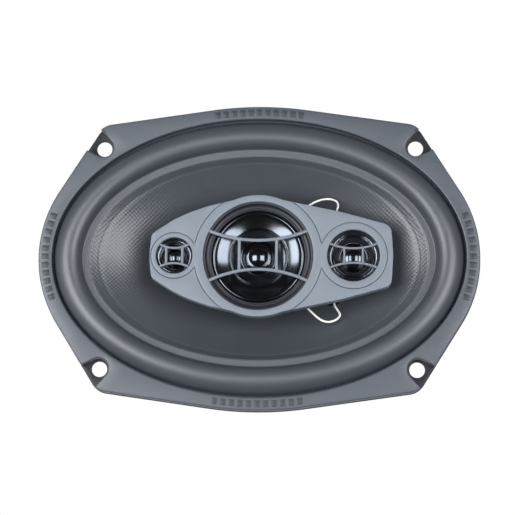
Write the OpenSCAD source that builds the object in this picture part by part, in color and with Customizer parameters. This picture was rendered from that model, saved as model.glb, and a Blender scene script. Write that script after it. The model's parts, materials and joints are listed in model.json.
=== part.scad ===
// Oval four-way coaxial car speaker, 6 by 9 inch class.
// +Z is the speaker's axis, towards the listener. The origin is the centre of the four screw
// holes, on the rear face of the mounting flange. Millimetres.

/* [Flange] */
// Overall length of the front ring
ring_length = 236; // [230:1:240]
// Overall width of the front ring
ring_width = 165.4; // [163:0.2:167]
// Distance between the screw holes along the length
hole_spacing_x = 168; // [166:0.5:170]
// Distance between the screw holes along the width
hole_spacing_y = 120; // [118:0.5:122]
// Radius of a screw hole
hole_r = 4.1; // [2.5:0.1:4.3]
// Thickness of the pressed steel basket
steel = 1.2; // [1:0.1:1.5]
// Height of the front ring's face above the seating face
ring_top = 6.5; // [5.5:0.1:7.5]

/* [Cone] */
// Half length of the cone where the surround's lip ends
cone_a = 90.2; // [88:0.1:91]
// Half width of the cone where the surround's lip ends
cone_b = 54.9; // [53:0.1:56]
// Depth of the cone from its edge to its neck
cone_depth = 32; // [30:0.5:33]
// Radius of the surround's half roll
roll_r = 7.4; // [6.5:0.1:7.6]
// Travel of the cone each way
cone_travel = 5; // [3:0.5:5]

/* [Motor] */
// Inner radius of the voice coil's former
former_r = 15.3; // [15:0.1:15.6]
// Radius of the front plate and the yoke's plate
plate_r = 42; // [40:0.5:43]
// Radius of the ferrite magnet
magnet_r = 45; // [43:0.5:48]
// Thickness of the ferrite magnet
magnet_h = 17; // [14:0.5:20]

/* [Pod] */
// Height of the pod's wings above the seating face
pod_face_z = 9; // [8.4:0.2:9.4]
// Height of the midrange guard's ring
mid_guard_z = 9.4; // [9:0.1:10]
// Height of the two tweeter guards' rings
tweeter_guard_z = 9.3; // [9:0.1:10]
// Radius of the midrange guard
mid_guard_r = 32.5; // [32:0.1:33]
// Distance from the axis to the tweeter
tweeter_x = 50.6; // [50:0.1:51.5]
// Distance from the axis to the super tweeter
super_x = -44.6; // [-45:0.1:-44]

/* [Hidden] */
$fn = 72;

// Axial stations, from the front down.
lip_z = steel;                       // underside of the surround's outer lip
skin = 0.8;                          // thickness of the surround
edge_z = 3.0;                        // cone's edge, underside of the surround's inner lip
landing_z = -37;                     // spider's landing in the basket
cup_z = -46;                         // inside of the basket's floor
plate_h = 5;                         // front plate
back_h = 5.5;                        // yoke's plate
plate_top = cup_z - steel;
plate_bottom = plate_top - plate_h;
magnet_bottom = plate_bottom - magnet_h;
back_z = magnet_bottom - back_h;     // rearmost face
neck_z = edge_z - cone_depth;
former_top = neck_z + 2.4;
plate_mid = (plate_top + plate_bottom) / 2;
coil_half = plate_h / 2 + 0.7 * cone_travel;   // half the winding's height
former_bottom = plate_mid - coil_half - 1.5;

// Radii of the motor.
former_wall = 0.35;
coil_wall = 0.6;
pole_r = former_r - 0.5;
gap_r = former_r + former_wall + coil_wall + 0.55;
cup_r = 42;
stem_r = former_r - 4.3;
screw_r = 2.5;

// Ellipses at the top of the basket: half length and half width.
lip_a = 112.6;
lip_b = 77.3;
open_a = 110.3;                      // opening of the front ring
open_b = 75.2;
mouth_a = 109;                       // outside of the basket's wall
mouth_b = 73.8;
rise = edge_z - lip_z;               // the surround's inner foot stands this much higher
roll_inset = lip_a - cone_a - 4.4 - roll_r;   // from the lip's edge to the middle of the roll

// ---------------------------------------------------------------- helpers

function mix(a, b, t) = a + (b - a) * t;
function ring(a, b, z, n = 96) = [for (i = [0 : n - 1]) [a * cos(360 * i / n), b * sin(360 * i / n), z]];
function flat(points) = [for (p = points) [p[0], p[1]]];

// Outline round a closed chain of circles [x, y, r], anticlockwise, with straight tangents.
function chain_turn(c, d) =
    atan2(d[1] - c[1], d[0] - c[0]) - 90 + asin((c[2] - d[2]) / norm([d[0] - c[0], d[1] - c[1]]));
function chain_outline(c, step = 6) = [
    for (i = [0 : len(c) - 1])
        let (n = len(c), from = chain_turn(c[(i + n - 1) % n], c[i]),
             turn = (chain_turn(c[i], c[(i + 1) % n]) - from + 720) % 360, k = max(1, ceil(turn / step)))
        for (j = [0 : k]) let (t = from + turn * j / k)
            [c[i][0] + c[i][2] * cos(t), c[i][1] + c[i][2] * sin(t)]
];

// Closed outline with a fillet of radius r at each corner [x, y, r].
function unit(v) = v / norm(v);
function fillet(p, q, s, step) =
    let (u = unit([p[0] - q[0], p[1] - q[1]]), v = unit([s[0] - q[0], s[1] - q[1]]),
         half = acos(max(-1, min(1, u * v))) / 2, c = [q[0], q[1]] + unit(u + v) * q[2] / sin(half),
         a0 = atan2(q[1] + u[1] * q[2] / tan(half) - c[1], q[0] + u[0] * q[2] / tan(half) - c[0]),
         raw = atan2(q[1] + v[1] * q[2] / tan(half) - c[1], q[0] + v[0] * q[2] / tan(half) - c[0]) - a0,
         turn = raw > 180 ? raw - 360 : raw < -180 ? raw + 360 : raw, k = max(1, ceil(abs(turn) / step)))
    [for (j = [0 : k]) c + q[2] * [cos(a0 + turn * j / k), sin(a0 + turn * j / k)]];
function rounded(c, step = 6) =
    [for (i = [0 : len(c) - 1]) each fillet(c[(i + len(c) - 1) % len(c)], c[i], c[(i + 1) % len(c)], step)];

// Solid skinned through rings of equal count. closed: the last ring joins the first.
module skin_rings(rings, closed = false) {
    m = len(rings);
    n = len(rings[0]);
    function at(i, j) = (i % m) * n + j % n;
    sides = [for (i = [0 : (closed ? m - 1 : m - 2)], j = [0 : n - 1])
        each [[at(i, j), at(i + 1, j), at(i + 1, j + 1)], [at(i, j), at(i + 1, j + 1), at(i, j + 1)]]];
    caps = closed ? [] : [[for (j = [0 : n - 1]) j], [for (j = [n - 1 : -1 : 0]) (m - 1) * n + j]];
    polyhedron([for (r = rings) each r], concat(sides, caps));
}

// Round wire along a list of points.
function frame_of(p, i) = let (q = p[min(i + 1, len(p) - 1)] - p[max(i - 1, 0)]) unit(q);
function wire_rings(p, r, sides = 8) = [
    for (i = [0 : len(p) - 1])
        let (t = frame_of(p, i), up = abs(t[2]) > 0.9 ? [1, 0, 0] : [0, 0, 1], u = unit(cross(t, up)), v = cross(t, u))
        [for (k = [0 : sides - 1]) p[i] + r * (u * cos(360 * k / sides) + v * sin(360 * k / sides))]
];
module wire(points, r) { skin_rings(wire_rings(points, r)); }
function mirror_y(points) = [for (p = points) [p[0], -p[1], p[2]]];

module tube(outer, inner, z0, z1) {
    translate([0, 0, z0]) difference() {
        cylinder(r = outer, h = z1 - z0);
        translate([0, 0, -1]) cylinder(r = inner, h = z1 - z0 + 2);
    }
}
module corners() {
    for (x = [-1, 1], y = [-1, 1]) translate([x * hole_spacing_x / 2, y * hole_spacing_y / 2, 0]) children();
}

// ---------------------------------------------------------------- basket and front ring

end_r = 67.3;                        // curve of the ring's ends
side_r = 180;                        // curve of the ring's long sides
corner_r = 10.5;
corner_x = ring_length / 2 - 39.4;
corner_y = ring_width / 2 - 20.1;
function flange_outline(inset = 0) = let (ex = ring_length / 2 - end_r, sy = ring_width / 2 - side_r)
    chain_outline([
        [ex, 0, end_r - inset], [corner_x, corner_y, corner_r - inset], [0, sy, side_r - inset],
        [-corner_x, corner_y, corner_r - inset], [-ex, 0, end_r - inset],
        [-corner_x, -corner_y, corner_r - inset], [0, -sy, side_r - inset],
        [corner_x, -corner_y, corner_r - inset]
    ], 4);

// Stations of the basket's wall: height, half length, half width.
wall = [
    [0.6, mouth_a, mouth_b], [-9, 105.8, 70.6], [-11.5, 101, 66.8], [-15, 93.6, 64.3],
    [-32, 59.5, 53], [-37.6, 50, 50]
];
windows = 8;                         // windows round the wall
cells = 96;                          // steps round the wall
arm_cells = 4;                       // steps that one arm takes
window_row = 3;                      // the row of the wall that the windows are in
function is_open(i, j) = i == window_row && (j + arm_cells / 2) % (cells / windows) >= arm_cells;

module basket_wall() {
    outer = [for (w = wall) ring(w[1], w[2], w[0], cells)];
    m = len(wall);
    inner = [for (i = [0 : m - 1])
        ring(wall[i][1] - steel, wall[i][2] - steel, wall[i][0] + (i > 0 && i < m - 1 ? 0.7 : 0), cells)];
    function o(i, j) = i * cells + (j + cells) % cells;
    function q(i, j) = m * cells + o(i, j);
    function quad(a, b, c, d) = [[a, b, c], [a, c, d]];
    faces = [
        for (i = [0 : m - 2], j = [0 : cells - 1]) if (!is_open(i, j)) each concat(
            quad(o(i, j), o(i, j + 1), o(i + 1, j + 1), o(i + 1, j)),
            quad(q(i, j), q(i + 1, j), q(i + 1, j + 1), q(i, j + 1)),
            i == 0 ? quad(o(i, j), q(i, j), q(i, j + 1), o(i, j + 1)) : [],
            i == m - 2 ? quad(o(i + 1, j), o(i + 1, j + 1), q(i + 1, j + 1), q(i + 1, j)) : []
        ),
        for (j = [0 : cells - 1]) if (is_open(window_row, j)) each concat(
            quad(o(window_row, j), o(window_row, j + 1), q(window_row, j + 1), q(window_row, j)),
            quad(o(window_row + 1, j), q(window_row + 1, j), q(window_row + 1, j + 1), o(window_row + 1, j + 1)),
            !is_open(window_row, (j + cells - 1) % cells)
                ? quad(o(window_row, j), q(window_row, j), q(window_row + 1, j), o(window_row + 1, j)) : [],
            !is_open(window_row, (j + 1) % cells)
                ? quad(o(window_row, j + 1), o(window_row + 1, j + 1), q(window_row + 1, j + 1), q(window_row, j + 1)) : []
        )
    ];
    polyhedron(concat([for (r = outer) each r], [for (r = inner) each r]), faces);
}

rivet_ring = 32;
module rivet_places() { for (a = [45 : 90 : 315]) rotate([0, 0, a]) translate([rivet_ring, 0, 0]) children(); }

module basket() color([0.09, 0.09, 0.1]) {
    difference() {
        linear_extrude(steel) difference() {
            polygon(flange_outline(0.2));
            polygon(flat(ring(mouth_a - 2.2, mouth_b - 2.2, 0)));
        }
        corners() translate([0, 0, -1]) cylinder(r = hole_r, h = steel + 2);
    }
    basket_wall();
    difference() {
        rotate_extrude($fn = 96) polygon([
            [20, cup_z], [cup_r, cup_z], [cup_r, landing_z], [50.4, landing_z], [50.4, landing_z - steel],
            [cup_r + steel, landing_z - steel], [cup_r + steel, cup_z - steel], [20, cup_z - steel]
        ]);
        rivet_places() translate([0, 0, cup_z - 2 * steel]) cylinder(r = 2, h = 4);
    }
}

// Pocket in the front ring round a screw hole, open towards the corner: a circle, and the corners of the opening
// that leaves it.
pocket_r = 5.3;
pocket_opening = [[2.3, -4.78], [11.6, -0.2], [3.4, 11.6], [-3.94, 3.54]];
module pockets() {
    for (x = [0, 1], y = [0, 1]) mirror([x, 0]) mirror([0, y])
        translate([hole_spacing_x / 2, hole_spacing_y / 2]) {
            circle(r = pocket_r);
            polygon(pocket_opening);
        }
}
module trim_ring() color([0.36, 0.38, 0.41]) difference() {
    translate([0, 0, lip_z]) linear_extrude(ring_top - lip_z) difference() {
        polygon(flange_outline());
        polygon(flat(ring(open_a, open_b, 0)));
        pockets();
    }
    translate([0, 0, lip_z - 1]) linear_extrude(1 + skin) polygon(flat(ring(lip_a + 0.1, lip_b + 0.1, 0)));
}

// ---------------------------------------------------------------- motor

module top_plate() color([0.62, 0.62, 0.6]) difference() {
    rotate_extrude($fn = 96) polygon([
        [gap_r, plate_top], [plate_r - 0.8, plate_top], [plate_r, plate_top - 0.8],
        [plate_r, plate_bottom + 0.8], [plate_r - 0.8, plate_bottom], [gap_r, plate_bottom]
    ]);
    rivet_places() translate([0, 0, plate_top - 3]) cylinder(r = 2, h = 4);
}

module magnet() color([0.16, 0.16, 0.17]) rotate_extrude($fn = 96) polygon([
    [21, plate_bottom], [magnet_r - 1, plate_bottom], [magnet_r, plate_bottom - 1],
    [magnet_r, magnet_bottom + 1], [magnet_r - 1, magnet_bottom], [21, magnet_bottom]
]);

recess = 4.5;                        // counterbore for the stem's screw
module yoke() color([0.62, 0.62, 0.6]) rotate_extrude($fn = 96) polygon([
    [screw_r + 0.4, plate_top], [pole_r - 0.6, plate_top], [pole_r, plate_top - 0.6], [pole_r, magnet_bottom],
    [plate_r - 0.8, magnet_bottom], [plate_r, magnet_bottom - 0.8], [plate_r, back_z + 1.2],
    [plate_r - 1.2, back_z], [8, back_z], [8, back_z + recess], [screw_r + 0.4, back_z + recess]
]);

module plate_rivets() color([0.55, 0.55, 0.54]) rivet_places() {
    translate([0, 0, plate_top - 3]) cylinder(r = 2, h = 3 + steel);
    translate([0, 0, cup_z]) cylinder(r1 = 3.2, r2 = 2.4, h = 1);
}

// ---------------------------------------------------------------- stem

stem_top = -4;
module stem() color([0.13, 0.13, 0.14]) rotate_extrude($fn = 96) polygon([
    [screw_r, plate_top], [stem_r, plate_top], [stem_r, -17], [stem_r + 1.2, -13], [stem_r + 4.4, -9],
    [stem_r + 6.5, -7.5], [stem_r + 6.5, stem_top], [0, stem_top], [0, -30], [screw_r, -30]
]);

washer_h = 1;
module stem_washer() color([0.7, 0.7, 0.68]) tube(6.5, screw_r + 0.1, back_z + recess - washer_h, back_z + recess);

module stem_screw() color([0.72, 0.72, 0.7]) {
    top = back_z + recess - washer_h;
    translate([0, 0, top]) cylinder(r = screw_r, h = -31 - top);
    difference() {
        translate([0, 0, top - 2.8]) cylinder(r = 4.6, h = 2.8);
        translate([0, 0, top - 3.8]) cylinder(r = 2.3, h = 2.8, $fn = 6);
    }
}

// ---------------------------------------------------------------- pod

split_z = 2;                         // where the pod's face shell meets its body
body_z = -4;                         // underside of the pod's body over the stem
wing_z = -3;                         // underside of its wings
wing_floor = wing_z + 1.2;           // floor under the two tweeters
mid_floor = body_z + 1.6;            // floor under the midrange unit
// The wings' outline, as corners [x, y, fillet].
wings = [
    [72.1, 0, 100], [70.4, 16.3, 5], [44, 23.6, 60], [0, 32.9, 40], [-26.1, 27.1, 40], [-37.2, 23.2, 40],
    [-44.8, 19.6, 30], [-56.6, 11.9, 4.2], [-58.5, 0, 60], [-56.6, -11.9, 4.2], [-44.8, -19.6, 30],
    [-37.2, -23.2, 40], [-26.1, -27.1, 40], [0, -32.9, 40], [44, -23.6, 60], [70.4, -16.3, 5]
];
function wing_outline() = rounded(wings, 8);
function shrunk(points, s, z) = [for (p = points) [p[0] * s, p[1] * s, z]];

module wing_loft(levels) { skin_rings([for (l = levels) shrunk(wing_outline(), l[1], l[0])]); }

// The units' places: x, radius of the guard's seat, radius of the pocket.
units = [[0, mid_guard_r, 30.4], [tweeter_x, 17.7, 15], [super_x, 12.2, 10.4]];
seat_z = pod_face_z - 2;             // floor of the guards' seats

module pod_face() color([0.42, 0.44, 0.47]) difference() {
    union() {
        wing_loft([[split_z, 0.965], [pod_face_z - 1, 1], [pod_face_z, 0.987]]);
        translate([0, 0, split_z]) cylinder(r1 = mid_guard_r - 1, r2 = mid_guard_r + 0.3, h = seat_z - split_z);
    }
    for (u = units) translate([u[0], 0, 0]) {
        translate([0, 0, split_z - 1]) cylinder(r = u[2], h = 20);
        translate([0, 0, seat_z]) cylinder(r = u[1] + 0.12, h = 20);
    }
}

module pod_body() color([0.13, 0.13, 0.14]) difference() {
    union() {
        wing_loft([[wing_z, 0.84], [0, 0.93], [split_z, 0.96]]);
        translate([0, 0, body_z]) cylinder(r1 = 27.5, r2 = mid_guard_r - 1.2, h = split_z - body_z);
    }
    translate([0, 0, mid_floor]) cylinder(r = 27, h = 20);
    translate([tweeter_x, 0, wing_floor]) cylinder(r = 13.4, h = 20);
    translate([super_x, 0, wing_floor]) cylinder(r = 9, h = 20);
    for (p = pod_screw_places) translate([p[0], p[1], body_z - 1]) cylinder(r = 1.2, h = 20);
    for (y = [-1, 1]) translate([lug_at[0], y * lug_at[1], wing_z - 1]) cylinder(r = 0.9, h = 3);
}

pod_screw_places = [[32.5, 14.5], [32.5, -14.5], [-34, 11.5], [-34, -11.5]];
module pod_screws() color([0.3, 0.3, 0.31]) for (p = pod_screw_places) translate([p[0], p[1], 0]) {
    translate([0, 0, wing_z]) cylinder(r = 1.2, h = split_z - wing_z);
    translate([0, 0, wing_z - 1.4]) cylinder(r1 = 1.7, r2 = 2.3, h = 1.4);
}

// Soldering pins under the pod, where the front leads end.
lug_at = [26.5, 17.5];
module pod_lugs() color([0.75, 0.62, 0.35]) for (y = [-1, 1]) translate([lug_at[0], y * lug_at[1], 0]) {
    translate([0, 0, wing_z]) cylinder(r = 0.9, h = 2);
    translate([0, 0, wing_z - 2]) cylinder(r = 1.5, h = 2);
}

// Guard: a ring and four bars. bars: their lowest and highest level, end: place of the bowed bars' ends,
// mid_y: of their middles.
module bowed_bar(span, end_y, mid_y, width) {
    sag = end_y - mid_y;
    r = (span * span + sag * sag) / (2 * sag);
    intersection() {
        translate([0, mid_y + r]) difference() {
            circle(r = r + width / 2, $fn = 180);
            circle(r = r - width / 2, $fn = 180);
        }
        translate([-span - 2, mid_y - width]) square([2 * span + 4, sag + 2 * width]);
    }
}
module guard(x, top, bars, outer, inner, end, mid_y, post_x, width, post_w) translate([x, 0, 0]) {
    translate([0, 0, seat_z]) linear_extrude(top - seat_z) difference() {
        circle(r = outer, $fn = 120);
        circle(r = inner, $fn = 120);
    }
    translate([0, 0, bars[0]]) linear_extrude(bars[1] - bars[0]) intersection() {
        circle(r = inner + 0.3, $fn = 120);
        union() {
            for (y = [0, 1]) mirror([0, y]) bowed_bar(end[0], end[1], mid_y, width);
            for (s = [-1, 1]) translate([s * post_x - post_w / 2, -mid_y]) square([post_w, 2 * mid_y]);
        }
    }
}
guard_colour = [0.42, 0.44, 0.47];
module midrange_guard() color(guard_colour)
    guard(0, mid_guard_z, [9, 11.4], mid_guard_r, 29.2, [25.9, 13.4], 7.8, 9.9, 1.7, 1.7);
module tweeter_guard() color(guard_colour)
    guard(tweeter_x, tweeter_guard_z, [7.6, 9.1], 17.6, 13.9, [12.4, 6.4], 3.9, 4.9, 1.2, 1.1);
module super_tweeter_guard() color(guard_colour)
    guard(super_x, tweeter_guard_z, [7.6, 9.1], 12.1, 9.7, [7.6, 6], 4.1, 4.3, 1.1, 1.3);

// ---------------------------------------------------------------- midrange unit

module midrange_bezel() color([0.08, 0.08, 0.09]) rotate_extrude($fn = 96) polygon([
    [29, mid_guard_z - 1.8], [29.1, seat_z], [30.3, seat_z], [30.3, split_z], [26.9, split_z], [26.9, -1],
    [24.6, -1], [24.6, 5.6], [25.6, 6.2], [26.4, 7]
]);
module midrange_pot() color([0.6, 0.6, 0.6]) difference() {
    translate([0, 0, mid_floor]) cylinder(r = 14, h = 3);
    translate([0, 0, mid_floor + 1.2]) cylinder(r = 12.5, h = 10);
}
module midrange_magnet() color([0.7, 0.7, 0.72]) tube(9.6, 2, mid_floor + 1.2, mid_floor + 2.4);
module midrange_pole_plate() color([0.62, 0.62, 0.6]) tube(10, 2, mid_floor + 2.4, mid_floor + 3);

module midrange_diaphragm() color([0.82, 0.84, 0.87]) rotate_extrude($fn = 96) polygon([
    [24.3, 4.8], [23, 5.2], [22.4, 4.8], [19, 3.2], [15.8, 2.1], [15.2, 1.5], [14.6, 1.9], [11, 1.6], [8.8, 1.9],
    [8.2, 2.6], [6.4, 3.9], [4.2, 4.9], [2, 5.8], [0, 6.3], [0, 5.8], [2, 5.3], [4.2, 4.4], [6.4, 3.4],
    [8.2, 2.1], [8.8, 1.4], [11, 1.15], [14.6, 1.45], [15.2, 1.1], [15.8, 1.7], [19, 2.75], [22.4, 4.3],
    [23, 4.6], [24.3, 4.4]
]);
module midrange_coil() color([0.72, 0.42, 0.2]) tube(11.4, 11, mid_floor + 1.8, 1.15);

// ---------------------------------------------------------------- tweeter and super tweeter

module tweeter_horn() color([0.8, 0.82, 0.84]) translate([tweeter_x, 0, 0]) rotate_extrude($fn = 96) polygon([
    [13.7, tweeter_guard_z - 1.8], [13.8, seat_z], [14.9, seat_z], [14.9, split_z], [12.4, split_z],
    [12.4, 0.6], [8.3, 0.6], [8.3, 2.6], [9.4, 3.2], [11.2, 5], [12.2, 5.6], [12.6, 6.4]
]);
module tweeter_pot() color([0.6, 0.6, 0.6]) translate([tweeter_x, 0, 0]) difference() {
    translate([0, 0, wing_floor]) cylinder(r = 9, h = 2.2);
    translate([0, 0, wing_floor + 0.8]) cylinder(r = 8, h = 10);
}
module tweeter_magnet() color([0.7, 0.7, 0.72])
    translate([tweeter_x, 0, 0]) tube(6, 1, wing_floor + 0.8, wing_floor + 1.9);
module tweeter_pole_plate() color([0.62, 0.62, 0.6])
    translate([tweeter_x, 0, 0]) tube(6.4, 1, wing_floor + 1.9, wing_floor + 2.5);
module small_dome(r, base, rise_h, wall_t) {
    big = (r * r + rise_h * rise_h) / (2 * rise_h);
    rotate_extrude($fn = 72) difference() {
        intersection() {
            translate([0, base + rise_h - big]) circle(r = big, $fn = 120);
            translate([0, base]) square([r + 1, rise_h + 1]);
        }
        translate([0, base + rise_h - big]) circle(r = big - wall_t, $fn = 120);
        translate([-2 * r, base - 1]) square([2 * r, 4 * r]);
    }
}
module tweeter_dome() color([0.75, 0.77, 0.8]) translate([tweeter_x, 0, 0]) {
    small_dome(7, 1.4, 3.2, 0.3);
    tube(8, 6.9, 1.2, 1.5);
}
module tweeter_coil() color([0.72, 0.42, 0.2]) translate([tweeter_x, 0, 0]) tube(7.2, 6.8, wing_floor + 1.4, 1.2);

module super_tweeter_horn() color([0.8, 0.82, 0.84]) translate([super_x, 0, 0]) rotate_extrude($fn = 96) polygon([
    [9.5, tweeter_guard_z - 1.8], [9.6, seat_z], [10.3, seat_z], [10.3, split_z], [8.8, split_z], [8.8, 0.6],
    [5.8, 0.6], [5.8, 2.6], [6.6, 3.4], [8, 5.6], [8.6, 7]
]);
module super_tweeter_pot() color([0.6, 0.6, 0.6]) translate([super_x, 0, 0]) difference() {
    translate([0, 0, wing_floor]) cylinder(r = 6.6, h = 2.2);
    translate([0, 0, wing_floor + 0.8]) cylinder(r = 5.7, h = 10);
}
module super_tweeter_magnet() color([0.7, 0.7, 0.72])
    translate([super_x, 0, 0]) tube(3.9, 1, wing_floor + 0.8, wing_floor + 2.4);
module super_tweeter_dome() color([0.75, 0.77, 0.8]) translate([super_x, 0, 0]) {
    small_dome(4.9, 1.4, 2.6, 0.3);
    tube(5.5, 4.8, 1.2, 1.5);
}
module super_tweeter_coil() color([0.72, 0.42, 0.2]) translate([super_x, 0, 0]) tube(5, 4.6, wing_floor + 1.4, 1.2);

// ---------------------------------------------------------------- crossover capacitors

module can(r, h, at_x, z) translate([at_x, 0, z]) rotate([0, 90, 0]) {
    cylinder(r = r, h = h);
    translate([0, 0, h]) cylinder(r = r - 0.8, h = 0.5);
}
module midrange_capacitor() color([0.1, 0.16, 0.34]) can(3.6, 13, 18.8, body_z - 3.6);
module tweeter_capacitor() color([0.12, 0.12, 0.13]) mirror([1, 0, 0]) can(3.1, 11, 18.8, body_z - 3.1);

// ---------------------------------------------------------------- moving system

function cone_at(t) = [mix(cone_a, former_r + former_wall, t), mix(cone_b, former_r + former_wall, t),
                       edge_z - cone_depth * pow(t, 0.92)];
paper = 0.6;                         // thickness of the cone
module cone() color([0.2, 0.21, 0.22]) {
    steps = 9;
    down = [for (i = [0 : steps]) cone_at(i / steps)];
    skin_rings(concat(
        [ring(cone_a + 3.7, cone_b + 3.7, edge_z)],
        [for (c = down) ring(c[0], c[1], c[2])],
        [for (i = [steps : -1 : 0]) ring(down[i][0], down[i][1], down[i][2] - (i == 0 ? 0.7 : paper))],
        [ring(cone_a + 3.7, cone_b + 3.7, edge_z - 0.7)]
    ), closed = true);
}

// Profile of the surround: inset from the lip's edge and height, at half thickness s either way.
function roll_profile(s) = concat(
    [[0, lip_z + 0.4 + s], [roll_inset - roll_r - 0.3, lip_z + 0.4 + s]],
    [for (a = [170 : -16 : 10]) [roll_inset + (roll_r - 0.4 + s) * cos(a),
        mix(lip_z, edge_z, (1 + cos(a)) / 2) + 0.4 + (roll_r - 0.4 + s) * sin(a)]],
    [[roll_inset + roll_r + 0.3, edge_z + 0.4 + s], [lip_a - cone_a, edge_z + 0.4 + s]]
);
module surround() color([0.24, 0.25, 0.27]) {
    top = roll_profile(0.4);
    under = roll_profile(-0.4);
    n = len(top);
    skin_rings([for (p = concat([for (i = [0 : n - 1]) top[i]], [for (i = [n - 1 : -1 : 0]) under[i]]))
        ring(lip_a - p[0], lip_b - p[0], p[1])], closed = true);
}

cloth = 0.45;
waves = 6;
wave_steps = waves * 8;
function wave(t) = [mix(former_r + former_wall + 1.2, cup_r - 0.2, t), landing_z + 0.25 + 1.3 * sin(360 * waves * t)];
module spider() color([0.75, 0.68, 0.5]) {
    top = concat([[former_r + former_wall, landing_z + 2.2], [former_r + former_wall + 0.6, landing_z + 0.9]],
                 [for (i = [0 : wave_steps]) wave(i / wave_steps)], [[48, landing_z + 0.25]]);
    rotate_extrude($fn = 96) polygon(concat(
        [for (p = top) [p[0], p[1] + cloth / 2]],
        [for (i = [len(top) - 1 : -1 : 0]) [top[i][0], top[i][1] - (i == len(top) - 1 ? 0.25 : cloth / 2)]]
    ));
}

module voice_coil_former() color([0.75, 0.7, 0.6])
    tube(former_r + former_wall, former_r, former_bottom, former_top);
module voice_coil_winding() color([0.72, 0.4, 0.18])
    tube(former_r + former_wall + coil_wall, former_r + former_wall, plate_mid - coil_half, plate_mid + coil_half);
module dust_ring() color([0.1, 0.1, 0.1]) tube(former_r, stem_r + 0.35, neck_z - 1.4, neck_z + 0.8);

// Height of the cone's face over a point, found from the share of the way to the neck.
function share_at(x, y, lo = 0, hi = 1, n = 18) = let (t = (lo + hi) / 2, c = cone_at(t),
        inside = pow(x / c[0], 2) + pow(y / c[1], 2) < 1)
    n == 0 ? t : inside ? share_at(x, y, t, hi, n - 1) : share_at(x, y, lo, t, n - 1);
function cone_z(x, y) = cone_at(share_at(x, y))[2];

eyelet_at = [40, 21];
module eyelet_shape() {
    z = cone_z(eyelet_at[0], eyelet_at[1]);
    translate([eyelet_at[0], eyelet_at[1], z + 0.5]) rotate([0, -26, 0]) rotate([34, 0, 0])
        tube(1.9, lead_r + 0.5, 0, 0.5);
}
module cone_eyelets() color([0.7, 0.7, 0.7]) {
    eyelet_shape();
    mirror([0, 1, 0]) eyelet_shape();
}

lead_r = 0.5;
// Lead along the cone's face from its eyelet to the former, as shares of the way.
coil_lead_path = [for (t = [0 : 0.125 : 1])
    let (x = mix(eyelet_at[0] - 3, 14.6, t), y = mix(eyelet_at[1] - 2.6, 6.6, t)) [x, y, cone_z(x, y) + 0.75]];
module coil_leads() color([0.72, 0.45, 0.28]) {
    wire(coil_lead_path, 0.45);
    mirror([0, 1, 0]) wire(coil_lead_path, 0.45);
}

// Loops of tinsel lead from the eyelets out past the pod's edge and back to the pins under the pod.
upper_lead_path = [
    [39.7, 20.6, -13.4], [39.5, 20.5, -12.4], [39.8, 21.8, -11.2], [40.6, 24.6, -9.4], [41.6, 27.6, -7.6], [42.4, 30.2, -6.2],
    [41.6, 32.2, -5.3], [39.2, 33.3, -4.9], [35.8, 33.5, -4.7], [32, 32.7, -4.7], [28.6, 31.2, -4.9],
    [25.8, 29.4, -5.3], [24.4, 27, -5.8], [24.4, 24, -6.3], [25.2, 20.8, -6.6], [26.2, 18.4, -6.2],
    [26.5, 17.5, -5.6]
];
lower_lead_path = [
    [39.7, -20.6, -13.4], [39.5, -20.5, -12.4], [40, -21.8, -11.2], [41, -24.6, -9.4], [42.8, -27.6, -7.6], [43.4, -29.6, -6.2],
    [42.2, -31.6, -5.3], [39.8, -33, -4.9], [36.8, -33.5, -4.7], [33.6, -32.6, -4.7], [30.6, -30.4, -4.9],
    [28, -27.9, -5.3], [26, -25.8, -5.8], [25.2, -23, -6.3], [25.4, -20.4, -6.6], [26.2, -18.4, -6.2],
    [26.5, -17.5, -5.6]
];
module front_tinsel_leads() color([0.86, 0.85, 0.8]) {
    wire(upper_lead_path, lead_r);
    wire(lower_lead_path, lead_r);
}

// ---------------------------------------------------------------- terminal

arm_tilt = 26.6;                     // slope of the arm that carries the terminal
module on_arm() translate([76.5, 0, -24.6]) rotate([0, -arm_tilt, 0]) children();
board = [26, 20, 1.6];
module terminal_board() color([0.1, 0.1, 0.11]) on_arm() difference() {
    translate([-board[0] / 2, -board[1] / 2, -board[2]]) cube(board);
    for (x = [-4, 4]) translate([x, 0, -3]) cylinder(r = 1.2, h = 6);
}
module terminal_rivets() color([0.7, 0.7, 0.68]) on_arm() for (x = [-4, 4]) translate([x, 0, 0]) {
    translate([0, 0, -board[2]]) cylinder(r = 1.2, h = board[2]);
    translate([0, 0, -board[2] - 0.8]) cylinder(r1 = 1.7, r2 = 2.3, h = 0.8);
}
// Spade tab: a foot against the board and a blade that points outwards.
module tab(y, width) on_arm() translate([0, y, -board[2]]) {
    translate([-6, -width / 2 - 0.6, -0.8]) cube([12, width + 1.2, 0.8]);
    translate([5.2, -width / 2, -6]) cube([0.8, width, 5.3]);
    translate([5.2, -width / 2, -6.6]) cube([10, width, 0.8]);
}
module positive_tab() color([0.78, 0.74, 0.6]) tab(6, 4.8);
module negative_tab() color([0.78, 0.74, 0.6]) tab(-6, 2.8);

rear_lead_path = [
    [73.2, 6.4, -29.8], [72.4, 8.6, -30.6], [71, 10.8, -30.8], [69, 12.4, -29.8], [66.8, 13.2, -27.4],
    [64.4, 13.8, -24.8], [61.4, 14.4, -23.2], [58, 15.2, -22.6], [54.6, 16.2, -22.8], [51.2, 17.4, -23.4],
    [48, 18.6, -23.4], [45, 19.6, -22.4], [42.4, 20.3, -20.4], [40.8, 20.8, -18.2], [40.2, 21, -16.2]
];
module rear_tinsel_leads() color([0.86, 0.85, 0.8]) {
    wire(rear_lead_path, lead_r);
    wire(mirror_y(rear_lead_path), lead_r);
}

// ---------------------------------------------------------------- one node at a time

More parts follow.
